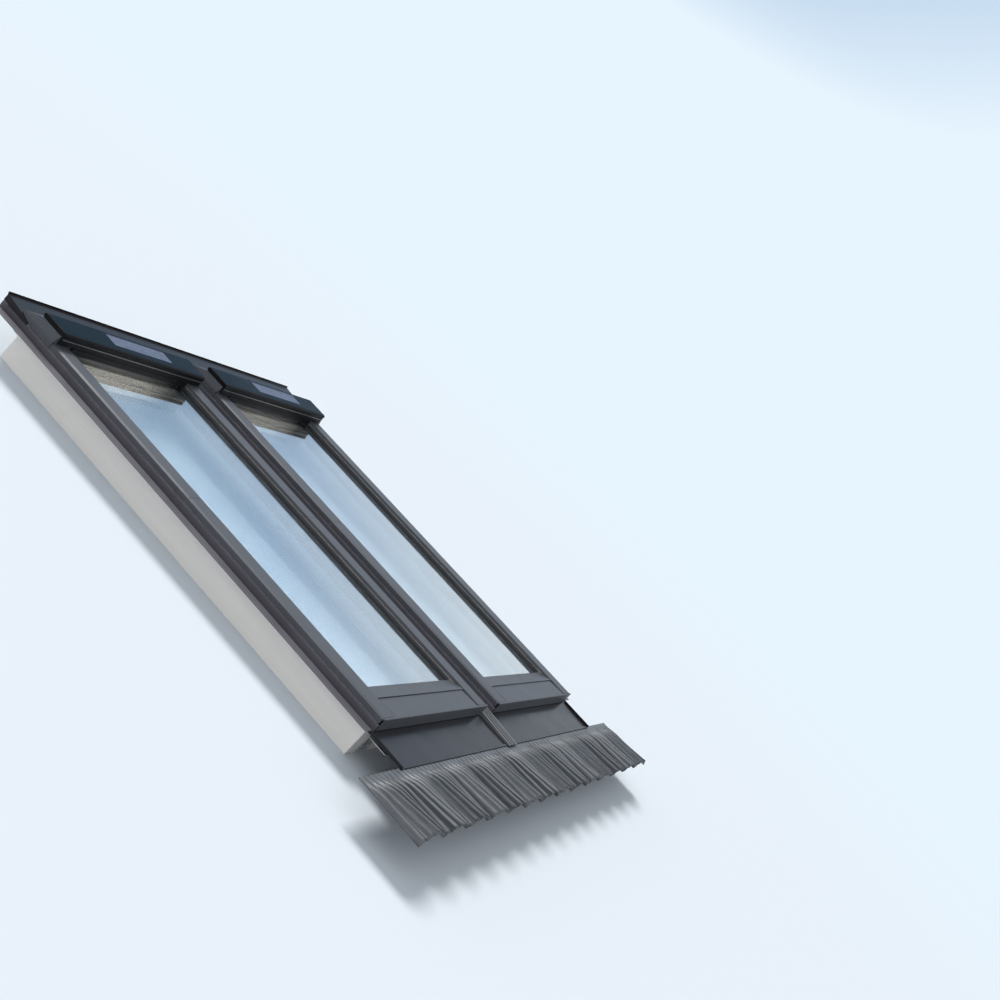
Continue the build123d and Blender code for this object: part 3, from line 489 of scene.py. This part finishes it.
def skirt_tree():
    """Tree of the pleated skirt: rolls over the tiles, pleats on the rolls, small dents and a mask
    of painted shade for the grooves.
    """
    graph, given, result = geometry_tree("Pleated skirt", (
        ("Start X", "Float", -1.0), ("End X", "Float", 1.0), ("Top Y", "Float", 0.0),
        ("End Y", "Float", -0.2), ("Top Z", "Float", 0.0), ("Roll Pitch", "Float", 0.155),
        ("Roll Height", "Float", 0.027), ("Valley Drop", "Float", 0.002),
        ("Pleats", "Int", 36), ("Pleat Height", "Float", 0.008), ("Columns", "Int", 400),
        ("Rows", "Int", 28), ("Material", "Material", None),
    ))
    grid = graph.add("GeometryNodeMeshGrid", {
        "Size X": 1.0, "Size Y": 1.0, "Vertices X": given["Columns"],
        "Vertices Y": given["Rows"]})
    flat_x, flat_y, _ = graph.axes(graph.add("GeometryNodeInputPosition").outputs[0])
    across = graph.math("ADD", flat_x, 0.5)
    down = graph.math("SUBTRACT", 0.5, flat_y)
    width = graph.math("SUBTRACT", given["End X"], given["Start X"])
    x = graph.times(across, width, given["Start X"])
    length = graph.math("SUBTRACT", given["End Y"], given["Top Y"])
    y = graph.times(down, length, given["Top Y"])
    swing = graph.zigzag(graph.math("DIVIDE", x, given["Roll Pitch"]))
    dome = graph.math("SUBTRACT", 1.0, graph.math("POWER", swing, 2.0))
    lift = graph.times(dome, given["Roll Height"], graph.times(given["Valley Drop"], -1.0))
    lift = graph.times(lift, graph.math("POWER", down, 1.1))
    ridge = graph.zigzag(graph.times(across, given["Pleats"], 0.875))
    pleat = graph.times(graph.ramp(ridge, 0.75, 0.35), given["Pleat Height"])
    pleat = graph.times(pleat, graph.smooth(down, 0.02, 0.34))
    place = graph.add("ShaderNodeCombineXYZ", {0: x, 1: y, 2: 0.0}).outputs[0]
    dent = graph.add("ShaderNodeTexNoise", {"Vector": place, "Scale": 22.0, "Detail": 1.0})
    dent = graph.times(dent.outputs["Fac"], DENT_DEPTH, -DENT_DEPTH / 2)
    dent = graph.times(dent, graph.smooth(down, 0.05, 0.35))
    z = graph.math("ADD", graph.math("ADD", given["Top Z"], lift),
                   graph.math("ADD", pleat, dent))
    target = graph.add("ShaderNodeCombineXYZ", {0: x, 1: y, 2: z}).outputs[0]
    shaped = graph.add("GeometryNodeSetPosition",
                       {"Geometry": grid.outputs["Mesh"], "Position": target})
    # Mask of painted shade in the grooves between the pleats, for the skirt's material.
    groove_shade = graph.times(graph.smooth(ridge, 0.36, 0.56), graph.smooth(down, 0.05, 0.26))
    marked = graph.add("GeometryNodeStoreNamedAttribute", {
        "Geometry": shaped.outputs[0], "Name": GROOVE_SHADE_NAME, "Value": groove_shade},
        data_type="FLOAT", domain="POINT")
    return close_tree(graph, marked.outputs[0], given["Material"], result)


def screw_tree():
    """Tree of screw heads: a low cone with a six-sided socket on every point, along one axis."""
    graph, given, result = geometry_tree("Screw heads", (
        ("Head Radius", "Float", 0.003), ("Head Height", "Float", 0.0012),
        ("Socket Radius", "Float", 0.0012), ("Axis", "Vector", (0.0, 0.0, 1.0)),
        ("Material", "Material", None),
    ))
    head = graph.add("GeometryNodeMeshCone", {
        "Vertices": 20, "Side Segments": 1, "Fill Segments": 1, "Depth": given["Head Height"],
        "Radius Top": graph.times(given["Head Radius"], 0.72),
        "Radius Bottom": given["Head Radius"]})
    socket = graph.add("GeometryNodeMeshCylinder", {
        "Vertices": 6, "Side Segments": 1, "Fill Segments": 1,
        "Radius": given["Socket Radius"], "Depth": given["Head Height"]})
    lift = graph.add("ShaderNodeCombineXYZ", {2: graph.times(given["Head Height"], 0.9)})
    raised = graph.add("GeometryNodeTransform", {
        "Geometry": socket.outputs["Mesh"], "Translation": lift.outputs[0]})
    cut = graph.add("GeometryNodeMeshBoolean", {
        "Mesh 1": head.outputs["Mesh"], "Mesh 2": raised.outputs[0]}, operation="DIFFERENCE")
    turn = graph.add("FunctionNodeAlignRotationToVector", {"Vector": given["Axis"]}, axis="Z")
    copies = graph.add("GeometryNodeInstanceOnPoints", {
        "Points": given["Geometry"], "Instance": cut.outputs["Mesh"],
        "Rotation": turn.outputs[0]})
    return close_tree(graph, copies.outputs[0], given["Material"], result)


def plate_row_tree():
    """Tree of a row of thin plates, for solar cells or ventilation slots."""
    graph, given, result = geometry_tree("Row of plates", (
        ("Count", "Int", 10), ("Start", "Vector", (0.0, 0.0, 0.0)),
        ("Step", "Vector", (0.02, 0.0, 0.0)), ("Plate Size", "Vector", (0.01, 0.01, 0.001)),
        ("Material", "Material", None),
    ))
    line = graph.add("GeometryNodeMeshLine", {
        "Count": given["Count"], "Start Location": given["Start"], "Offset": given["Step"]},
        mode="OFFSET")
    plate = graph.add("GeometryNodeMeshCube", {"Size": given["Plate Size"]})
    copies = graph.add("GeometryNodeInstanceOnPoints", {
        "Points": line.outputs[0], "Instance": plate.outputs["Mesh"]})
    return close_tree(graph, copies.outputs[0], given["Material"], result)


class FinishSettings(bpy.types.PropertyGroup):
    """Colours, haze and roughness of the finishes."""
    cladding_colour: FloatVectorProperty(
        name="Cladding", description="Coated aluminium of the covers and the casing",
        subtype="COLOR", default=(0.082, 0.085, 0.096), min=0.0, max=1.0)
    # The channels' lighter shade of the flashing is painted light on the same coat.
    flashing_colour: FloatVectorProperty(
        name="Flashing", description="Coated aluminium of the apron and, lighter, the channels",
        subtype="COLOR", default=(0.026, 0.024, 0.028), min=0.0, max=1.0)
    skirt_colour: FloatVectorProperty(
        name="Skirt", description="Pleated sheet of the apron skirt",
        subtype="COLOR", default=(0.088, 0.088, 0.090), min=0.0, max=1.0)
    strip_colour: FloatVectorProperty(
        name="Joint strip", description="Ribbed strip over the apron's joint",
        subtype="COLOR", default=(0.16, 0.162, 0.168), min=0.0, max=1.0)
    paint_colour: FloatVectorProperty(
        name="Paint", description="White paint of the timber",
        subtype="COLOR", default=(0.82, 0.78, 0.73), min=0.0, max=1.0)
    hood_colour: FloatVectorProperty(
        name="Hood", description="Satin black of the solar hoods",
        subtype="COLOR", default=(0.009, 0.009, 0.010), min=0.0, max=1.0)
    panel_colour: FloatVectorProperty(
        name="Panel", description="Face of the solar panels beside the cells",
        subtype="COLOR", default=(0.004, 0.014, 0.024), min=0.0, max=1.0)
    cell_colour: FloatVectorProperty(
        name="Cells", description="Silicon of the solar cells",
        subtype="COLOR", default=(0.115, 0.145, 0.215), min=0.0, max=1.0)
    glass_colour: FloatVectorProperty(
        name="Glass", description="Tint of the panes",
        subtype="COLOR", default=(0.92, 0.94, 0.945), min=0.0, max=1.0)
    # The haze is dust that also paints in whitish reflection streaks on the outer panes.
    glass_haze_and_painted_reflection: FloatProperty(
        name="Glass haze", description="Share of light that dust on the outer panes scatters",
        default=0.09, min=0.0, max=1.0, subtype="FACTOR")
    cladding_roughness: FloatProperty(
        name="Cladding roughness", description="How matt the coated aluminium is",
        default=0.46, min=0.1, max=1.0)


class SkirtSettings(bpy.types.PropertyGroup):
    """Sizes of the pleated skirt."""
    roll_pitch: FloatProperty(
        name="Roll pitch", description="Distance between two tile rolls",
        default=0.155, unit="LENGTH")
    roll_height: FloatProperty(
        name="Roll height", description="Rise of a roll at the lower edge",
        default=0.027, unit="LENGTH")
    valley_drop: FloatProperty(
        name="Valley drop", description="How far a valley lies below the apron",
        default=0.002, unit="LENGTH")
    pleat_pitch: FloatProperty(
        name="Pleat pitch", description="Distance between two pleats",
        default=0.030, unit="LENGTH")
    pleat_height: FloatProperty(
        name="Pleat height", description="Rise of a pleat", default=0.008, unit="LENGTH")
    sheet: FloatProperty(
        name="Sheet", description="Thickness of the skirt's sheet",
        default=0.0012, unit="LENGTH")


class PieceSettings(bpy.types.PropertyGroup):
    """Sizes of the cells, slots and fasteners."""
    cell_count: IntProperty(
        name="Cells", description="Solar cells in a panel", default=12, min=1)
    cell_gap: FloatProperty(
        name="Cell gap", description="Gap between two cells", default=0.0009, unit="LENGTH")
    screw_radius: FloatProperty(
        name="Screw head", description="Radius of a screw head", default=0.0034, unit="LENGTH")
    foot_length: FloatProperty(
        name="Foot length", description="Length of a foot at a cover's lower end",
        default=0.056, unit="LENGTH")
    slot_pitch: FloatProperty(
        name="Slot pitch", description="Distance between two ventilation slots",
        default=0.012, unit="LENGTH")


class StageSettings(bpy.types.PropertyGroup):
    """Floor, backdrop, light and lens."""
    backdrop_colour: FloatVectorProperty(
        name="Backdrop", description="Pale colour of the backdrop at the floor's far edge",
        subtype="COLOR", default=(0.80, 0.91, 1.0), min=0.0, max=1.0)
    middle_colour: FloatVectorProperty(
        name="Middle backdrop", description="Colour of the backdrop half-way up",
        subtype="COLOR", default=(0.37, 0.54, 0.76), min=0.0, max=1.0)
    upper_colour: FloatVectorProperty(
        name="Upper backdrop", description="Colour of the backdrop high up",
        subtype="COLOR", default=(0.35, 0.51, 0.69), min=0.0, max=1.0)
    fill_colour: FloatVectorProperty(
        name="Fill colour", description="Colour of the light from all round",
        subtype="COLOR", default=(0.93, 0.96, 1.0), min=0.0, max=1.0)
    floor_colour: FloatVectorProperty(
        name="Floor", description="Colour of the floor",
        subtype="COLOR", default=(0.74, 0.80, 0.86), min=0.0, max=1.0)
    key_strength: FloatProperty(
        name="Key light", description="Strength of the soft key light", default=2.6)
    fill_strength: FloatProperty(
        name="Fill", description="Strength of the light from all round", default=0.30)
    room_power: FloatProperty(
        name="Room light", description="Power of the light from the room under a window",
        default=0.30, unit="POWER")
    lens: FloatProperty(
        name="Lens", description="Focal length of the camera", default=56.534, unit="CAMERA")


class RoofWindowPiece:
    """Shared settings of the operators below."""
    bl_options = {"REGISTER", "UNDO"}


class ROOFWINDOW_OT_finishes(RoofWindowPiece, bpy.types.Operator):
    """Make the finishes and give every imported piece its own"""
    bl_idname = "roofwindow.finishes"
    bl_label = "Finishes"

    def execute(self, context):
        made = all_materials(context.scene.roof_window_finish)
        names = {key: material.name for key, material in made.items()}
        context.scene["roof_window_finishes"] = names
        for entry in frame["record"]["subparts"]:
            node = entry["node"]
            key = entry["material_slot"]
            if key == "painted_timber" and not ("jamb" in node or "stile" in node):
                key = "painted_timber_across"
            # Painted shade: the bottom beads take the darker copy of the cladding coat.
            if node.endswith("bottom_bead"):
                key = "painted_shade_bead"
            # Painted light: side flashings and the middle gutter take the lighter copy of the
            # flashing coat.
            if node.startswith("side_flashing") or node == "middle_gutter":
                key = "painted_light_channel"
            if node.endswith("outer_pane"):
                key = "outer_glass"
            for slot in NODES[node].material_slots:
                slot.material = made[key]
        return {"FINISHED"}


class ROOFWINDOW_OT_skirt(RoofWindowPiece, bpy.types.Operator):
    """Dress the pleated skirt over the tile rolls below the apron"""
    bl_idname = "roofwindow.skirt"
    bl_label = "Pleated skirt"

    def execute(self, context):
        sizes = context.scene.roof_window_skirt
        tree = skirt_tree()
        columns_per_pleat = 20
        rows = 26
        tuck = 0.0003
        for side in CENTRES:
            node = f"apron_skirt_{side}"
            low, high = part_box(node)
            pleats = round((high.x - low.x) / sizes.pleat_pitch)
            values = {
                "Start X": low.x, "End X": high.x, "Top Y": high.y, "End Y": low.y,
                "Top Z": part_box("apron_sheet_left")[0].z - tuck,
                "Roll Pitch": sizes.roll_pitch, "Roll Height": sizes.roll_height,
                "Valley Drop": sizes.valley_drop, "Pleats": pleats,
                "Pleat Height": sizes.pleat_height,
                "Columns": pleats * columns_per_pleat + 1, "Rows": rows,
                "Material": finish("skirt"),
            }
            skirt = grown(f"skirt_{side}", tree, values)
            wall = skirt.modifiers.new("Sheet", "SOLIDIFY")
            wall.thickness = sizes.sheet
            wall.offset = -1.0
            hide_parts(node)
            ride(skirt, FIXED, smooth=True)
        return {"FINISHED"}


class ROOFWINDOW_OT_cells(RoofWindowPiece, bpy.types.Operator):
    """Lay the solar cells into the face of each panel"""
    bl_idname = "roofwindow.cells"
    bl_label = "Solar cells"

    def execute(self, context):
        sizes = context.scene.roof_window_pieces
        tree = plate_row_tree()
        length, thickness = 0.047, 0.00012
        off_middle, proud = 0.005, 0.00008
        for side, centre in CENTRES.items():
            low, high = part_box(f"{side}_solar_panel")
            start, end = centre - 0.106, centre + 0.205
            pitch = (end - start) / sizes.cell_count
            values = {
                "Count": sizes.cell_count, "Step": (pitch, 0.0, 0.0),
                "Start": (start + pitch / 2, (low.y + high.y) / 2 + off_middle, high.z + proud),
                "Plate Size": (pitch - sizes.cell_gap, length, thickness),
                "Material": finish("cells"),
            }
            ride(grown(f"{side}_cells", tree, values), FIXED)
        return {"FINISHED"}


class ROOFWINDOW_OT_vent_flaps(RoofWindowPiece, bpy.types.Operator):
    """Shape the ventilation flaps with their grips, end caps and pins, and lay dark plates of
    painted shade for the slots behind them
    """
    bl_idname = "roofwindow.vent_flaps"
    bl_label = "Ventilation flaps"

    def execute(self, context):
        sizes = context.scene.roof_window_pieces
        tree = plate_row_tree()
        half, cap, cap_gap, bevel = 0.289, 0.0035, 0.0002, 0.0004
        pin_radius, pin_depth = 0.003, 0.001
        slot_run, slot_offset, rail_gap = 0.52, 0.002, 0.0003
        slot = (0.006, 0.016, 0.0001)
        for side, centre in CENTRES.items():
            low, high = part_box(f"{side}_vent_flap")
            profile, pin = self.section(low, high)

            def bar(shape):
                add_prism(shape, profile, centre - half + cap, centre + half - cap)

            def caps(shape):
                add_prism(shape, profile, centre - half, centre - half + cap - cap_gap)
                add_prism(shape, profile, centre + half - cap + cap_gap, centre + half)

            def pins(shape):
                rod = arc(pin, pin_radius, 0.0, 345.0, 23)
                add_prism(shape, rod, low.x, centre - half + pin_depth)
                add_prism(shape, rod, centre + half - pin_depth, high.x)

            body = f"{side}_flap"
            flap = new_piece(f"{side}_flap_bar", bar, "flap_metal")
            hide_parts(f"{side}_vent_flap")
            ride(flap, body)
            ride(new_piece(f"{side}_flap_caps", caps, "grey_plastic", bevel), body)
            ride(new_piece(f"{side}_flap_pins", pins, "fitting_steel"), body)
            count = int(slot_run / sizes.slot_pitch)
            # The slots are thin dark plates: painted shade where the openings lie.
            values = {
                "Count": count, "Step": (sizes.slot_pitch, 0.0, 0.0),
                "Start": (centre - sizes.slot_pitch * (count - 1) / 2,
                          (pin[0] + high.y) / 2 + slot_offset,
                          high.z + rail_gap - slot[2] / 2),
                "Plate Size": slot, "Material": finish("slot_painted_shade"),
            }
            ride(grown(f"{side}_vent_slots", tree, values), f"{side}_sash")
        return {"FINISHED"}

    def section(self, low, high):
        """Outline of a flap, from its round hinge edge over a thin web to its grip, and its pin."""
        hinge, throat, fillet, grip, corner = 0.0055, 0.0115, 0.004, 0.00375, 0.003
        pin = (low.y + hinge, high.z - hinge)
        under_z = pin[1] - hinge
        throat_y = high.y - throat
        outline = arc(pin, hinge, 90.0, 270.0, 12)
        outline += [(throat_y, under_z)]
        outline += arc((throat_y, under_z - fillet), fillet, 90.0, 0.0, 5)
        outline += arc((high.y - grip, low.z + grip), grip, 180.0, 360.0, 10)
        outline += arc((high.y - corner, high.z - corner), corner, 0.0, 90.0, 6)
        return outline, pin


class ROOFWINDOW_OT_cover_feet(RoofWindowPiece, bpy.types.Operator):
    """Close the lower ends of the sash covers with small feet"""
    bl_idname = "roofwindow.cover_feet"
    bl_label = "Cover feet"

    def execute(self, context):
        length = context.scene.roof_window_pieces.foot_length
        side_gap, face_gap, bevel = 0.0005, 0.0006, 0.0009
        bar_depth, bar_foot = 0.0048, 0.0046
        leg_width, leg_depth, leg_top = 0.009, 0.0016, 0.004
        for side, centre in CENTRES.items():
            low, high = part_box(f"{side}_lower_covers")
            half = (high.x - low.x) / 2 - side_gap
            for label, direction in ENDS.items():
                def foot(shape):
                    outer = centre + direction * half
                    bar = sorted((outer, centre + direction * (half - length)))
                    add_box(shape, (bar[0], low.y - bar_depth, high.z - bar_foot),
                            (bar[1], low.y, high.z - face_gap))
                    leg = sorted((outer, centre + direction * (half - leg_width)))
                    add_box(shape, (leg[0], low.y - leg_depth, low.z + face_gap),
                            (leg[1], low.y, high.z - leg_top))

                piece = new_piece(f"{side}_cover_foot_{label}", foot, "dark_plastic", bevel)
                ride(piece, f"{side}_sash")
        return {"FINISHED"}


class ROOFWINDOW_OT_ridge_highlights(RoofWindowPiece, bpy.types.Operator):
    """Lay a thin lighter strip on the ridge of each solar hood as a painted highlight"""
    bl_idname = "roofwindow.ridge_lines"
    bl_label = "Ridge highlights"

    def execute(self, context):
        inset, proud, sunk, bevel = 0.004, 0.0003, 0.0001, 0.0001
        lower, upper = at(0.0, 0.0, 0.0188).z, at(0.0, 0.0, 0.0212).z
        for side in CENTRES:
            low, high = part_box(f"{side}_solar_hood")

            def line(shape):
                add_box(shape, (low.x + inset, low.y - proud, lower),
                        (high.x - inset, low.y + sunk, upper))

            # The strip is a painted highlight on the ridge, not a separate trim.
            piece = new_piece(f"{side}_ridge_painted_highlight", line, "ridge_painted_highlight", bevel)
            ride(piece, FIXED)
        return {"FINISHED"}


class ROOFWINDOW_OT_bolt_plates(RoofWindowPiece, bpy.types.Operator):
    """Frame each barrel bolt's slot with a small slotted plate"""
    bl_idname = "roofwindow.bolt_plates"
    bl_label = "Bolt plates"

    def execute(self, context):
        knob_inset, travel = 0.030, 0.014
        half_slot, rim, thickness = 0.0026, 0.009, 0.00022
        for side in CENTRES:
            low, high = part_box(f"{side}_sash_stile_b")
            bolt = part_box(f"{side}_barrel_bolt")
            middle = (bolt[0].y + bolt[1].y) / 2
            start = high.x - knob_inset - half_slot
            end = high.x - knob_inset + travel + half_slot
            strips = (
                (start - rim, middle - rim, end + rim, middle - half_slot),
                (start - rim, middle + half_slot, end + rim, middle + rim),
                (start - rim, middle - half_slot, start, middle + half_slot),
                (end, middle - half_slot, end + rim, middle + half_slot),
            )

            def plate(shape):
                for x, y, far_x, far_y in strips:
                    add_box(shape, (x, y, low.z - thickness), (far_x, far_y, low.z))

            piece = new_piece(f"{side}_bolt_plate", plate, "fitting_steel")
            ride(piece, f"{side}_sash")
        return {"FINISHED"}


def pivot_ring(x, radius, angles):
    """Places round the pivot line at these angles, all at one x."""
    pivot = at(x, PIVOT_Y, 0.0)
    turns = [math.radians(angle) for angle in angles]
    return [(x, pivot.y + radius * math.cos(turn), pivot.z + radius * math.sin(turn))
            for turn in turns]


class ROOFWINDOW_OT_fasteners(RoofWindowPiece, bpy.types.Operator):
    """Set the screws of the covers, brackets, tracks and shoes"""
    bl_idname = "roofwindow.fasteners"
    bl_label = "Fasteners"

    def execute(self, context):
        radius = context.scene.roof_window_pieces.screw_radius
        tree = screw_tree()

        def screws(name, points, axis, body, head=radius, height=0.0012, key="fitting_steel"):
            values = {"Head Radius": head, "Head Height": height, "Socket Radius": head * 0.42,
                      "Axis": axis, "Material": finish(key)}
            ride(grown(name, tree, values, points), body)

        cover_depth, casing_depth = -0.0115, -0.007
        track_ring, shoe_ring, hinge_screw = 0.0523, 0.022, (0.0028, 0.0008)
        plate, level, spread, step, bracket_screw = 0.0025, 0.016, 0.3, 0.018, (0.0042, 0.0022)
        for side, centre in CENTRES.items():
            sash = f"{side}_sash"
            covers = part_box(f"{side}_lower_covers")
            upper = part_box(f"{side}_upper_covers")
            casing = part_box(f"{side}_top_casing")
            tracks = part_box(f"{side}_frame_jamb_b")[0].x - centre
            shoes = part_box(f"{side}_sash_stile_b")[1].x - centre
            for label, direction in ENDS.items():
                edge = 1 if direction > 0 else 0
                outward, inward = (direction, 0.0, 0.0), (-direction, 0.0, 0.0)
                wall = [at(covers[edge].x, y, cover_depth) for y in (0.12, 0.40, 0.70)]
                screws(f"{side}_cover_screws_{label}", wall, outward, sash, key="cladding")
                wall = [at(upper[edge].x, y, cover_depth) for y in (0.78, 1.25)]
                wall += [at(casing[edge].x, y, casing_depth) for y in (1.335, 1.395)]
                screws(f"{side}_frame_screws_{label}", wall, outward, FIXED, key="cladding")
                ring = pivot_ring(centre + direction * tracks, track_ring, (-35.0, -90.0, -145.0))
                screws(f"{side}_track_screws_{label}", ring, inward, FIXED, *hinge_screw)
                ring = pivot_ring(centre + direction * shoes, shoe_ring, (-40.0, -90.0, -140.0))
                screws(f"{side}_shoe_screws_{label}", ring, outward, sash, *hinge_screw)
            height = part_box("fixing_brackets")[0].z + level
            for label, end_y, direction in (("low", 0.0, -1.0), ("high", FRAME_LENGTH, 1.0)):
                face_y = at(0.0, end_y, 0.0).y + direction * plate
                points = [(centre + x + shift, face_y, height) for x in (-spread, spread)
                          for shift in (-step, step)]
                screws(f"{side}_bracket_screws_{label}", points, (0.0, direction, 0.0), FIXED,
                       *bracket_screw)
        return {"FINISHED"}


class ROOFWINDOW_OT_stage(RoofWindowPiece, bpy.types.Operator):
    """Set the floor, the backdrop, the lights and the camera"""
    bl_idname = "roofwindow.stage"
    bl_label = "Stage"

    def execute(self, context):
        settings = context.scene.roof_window_stage
        scene = context.scene
        scene.view_settings.view_transform = "Standard"
        self.backdrop(scene, settings)
        self.floor(settings)
        sun = bpy.data.lights.new("soft_key", "SUN")
        sun.energy = settings.key_strength
        sun.angle = math.radians(22.0)
        sun.color = SUN_COLOUR
        turn = Vector(SUN_DIRECTION).to_track_quat("Z", "Y").to_matrix().to_4x4()
        new_object("soft_key", sun).matrix_world = turn
        for side, centre in CENTRES.items():
            self.room_light(settings, side, centre)
        lens = bpy.data.cameras.new("photo_view")
        lens.lens = settings.lens
        lens.sensor_width = 36.0
        lens.clip_end = 200.0
        camera = new_object("photo_view", lens)
        turn = Matrix(CAMERA_AXES).transposed().to_4x4()
        camera.matrix_world = Matrix.Translation(at(*CAMERA_PLACE)) @ turn
        scene.camera = camera
        return {"FINISHED"}

    def room_light(self, settings, side, centre):
        """Weak warm light from the room towards one window's head, itself unseen."""
        lamp = bpy.data.lights.new(f"room_light_{side}", "AREA")
        lamp.shape = "RECTANGLE"
        lamp.size = 0.40
        lamp.size_y = 0.05
        lamp.spread = math.radians(16.0)
        lamp.energy = settings.room_power
        lamp.color = ROOM_COLOUR
        light = new_object(f"room_light_{side}", lamp)
        turn = Matrix.Rotation(math.radians(92.0), 4, "X")
        light.matrix_world = Matrix.Translation(at(centre, 0.35, -0.085)) @ turn
        light.visible_camera = False
        light.visible_glossy = False
        light.visible_transmission = False

    def backdrop(self, scene, settings):
        """Pale backdrop for the camera, gloss and glass, and a dimmer light for the rest."""
        world = bpy.data.worlds.new("backdrop")
        world.use_nodes = True
        world.node_tree.nodes.clear()
        graph = Graph(world.node_tree)
        x, y, z = graph.axes(graph.add("ShaderNodeTexCoord").outputs["Generated"])
        slope = graph.times(graph.times(y, 0.84), graph.smooth(z, 0.0, 0.2))
        height = graph.math("ADD", slope, z)
        tone = graph.blend(graph.ramp(height, 0.38, 0.57), rgba(settings.backdrop_colour),
                           rgba(settings.middle_colour))
        tone = graph.blend(graph.ramp(height, 0.57, 0.66), tone, rgba(settings.upper_colour))
        path = graph.add("ShaderNodeLightPath").outputs
        through = graph.math("MAXIMUM", path["Is Glossy Ray"], path["Is Transmission Ray"])
        seen = graph.math("MAXIMUM", path["Is Camera Ray"], through)
        fill = settings.fill_strength
        strength = graph.add("ShaderNodeMix", {
            0: seen, 2: graph.ramp(x, 0.2, -1.0, fill, 4.0 * fill), 3: 1.0})
        light = graph.add("ShaderNodeBackground", {
            "Color": graph.blend(seen, rgba(settings.fill_colour), tone),
            "Strength": strength.outputs[0]})
        graph.add("ShaderNodeOutputWorld", {"Surface": light.outputs[0]})
        scene.world = world

    def floor(self, settings):
        """Wide floor that fades into the backdrop's colour away from the object."""
        gap = 0.0005
        mesh = bpy.data.meshes.new("floor")
        shape = bmesh.new()
        bmesh.ops.create_circle(shape, cap_ends=True, segments=96, radius=90.0)
        shape.to_mesh(mesh)
        shape.free()
        mesh.transform(Matrix.Translation((0.0, 0.0, SILL[0].z - gap)))
        floor = new_object("floor", mesh)
        material, graph, shader = shader_graph("floor_paper", roughness=0.9,
                                               specular_ior_level=0.1)
        graph.surface(shader, rgba(settings.floor_colour))
        place = graph.add("ShaderNodeTexCoord").outputs["Object"]
        distance = graph.add("ShaderNodeVectorMath", {0: place}, operation="LENGTH")
        fade = graph.smooth(distance.outputs["Value"], 2.2, 7.5)
        glow = graph.add("ShaderNodeEmission", {
            "Color": rgba(settings.backdrop_colour), "Strength": 1.0})
        mix = graph.add("ShaderNodeMixShader", {
            0: fade, 1: shader.outputs[0], 2: glow.outputs[0]})
        graph.feed(graph.output, mix.outputs[0])
        mesh.materials.append(material)


class ROOFWINDOW_PT_panel(bpy.types.Panel):
    """Lists the settings and the pieces"""
    bl_idname = "ROOFWINDOW_PT_panel"
    bl_label = "Roof window"
    bl_space_type = "VIEW_3D"
    bl_region_type = "UI"
    bl_category = "Roof window"

    def draw(self, context):
        layout = self.layout
        for name in SETTINGS:
            box = layout.box()
            group = getattr(context.scene, name)
            for prop in group.__annotations__:
                box.prop(group, prop)
        for operator in OPERATORS:
            layout.operator(operator.bl_idname)


OPERATORS = (
    ROOFWINDOW_OT_finishes,
    ROOFWINDOW_OT_skirt,
    ROOFWINDOW_OT_cells,
    ROOFWINDOW_OT_vent_flaps,
    ROOFWINDOW_OT_cover_feet,
    ROOFWINDOW_OT_ridge_highlights,
    ROOFWINDOW_OT_bolt_plates,
    ROOFWINDOW_OT_fasteners,
    ROOFWINDOW_OT_stage,
)
SETTINGS = {
    "roof_window_finish": FinishSettings,
    "roof_window_skirt": SkirtSettings,
    "roof_window_pieces": PieceSettings,
    "roof_window_stage": StageSettings,
}


def register():
    """Register the settings, the operators and the panel."""
    for name, group in SETTINGS.items():
        bpy.utils.register_class(group)
        setattr(bpy.types.Scene, name, PointerProperty(type=group))
    for operator in OPERATORS:
        bpy.utils.register_class(operator)
    bpy.utils.register_class(ROOFWINDOW_PT_panel)


def unregister():
    """Take the settings, the operators and the panel out again."""
    bpy.utils.unregister_class(ROOFWINDOW_PT_panel)
    for operator in reversed(OPERATORS):
        bpy.utils.unregister_class(operator)
    for name, group in SETTINGS.items():
        delattr(bpy.types.Scene, name)
        bpy.utils.unregister_class(group)


def main():
    """Make every piece in order."""
    register()
    bpy.ops.roofwindow.finishes()
    bpy.ops.roofwindow.skirt()
    bpy.ops.roofwindow.cells()
    bpy.ops.roofwindow.vent_flaps()
    bpy.ops.roofwindow.cover_feet()
    bpy.ops.roofwindow.ridge_lines()
    bpy.ops.roofwindow.bolt_plates()
    bpy.ops.roofwindow.fasteners()
    bpy.ops.roofwindow.stage()


if __name__ == "__main__":
    main()
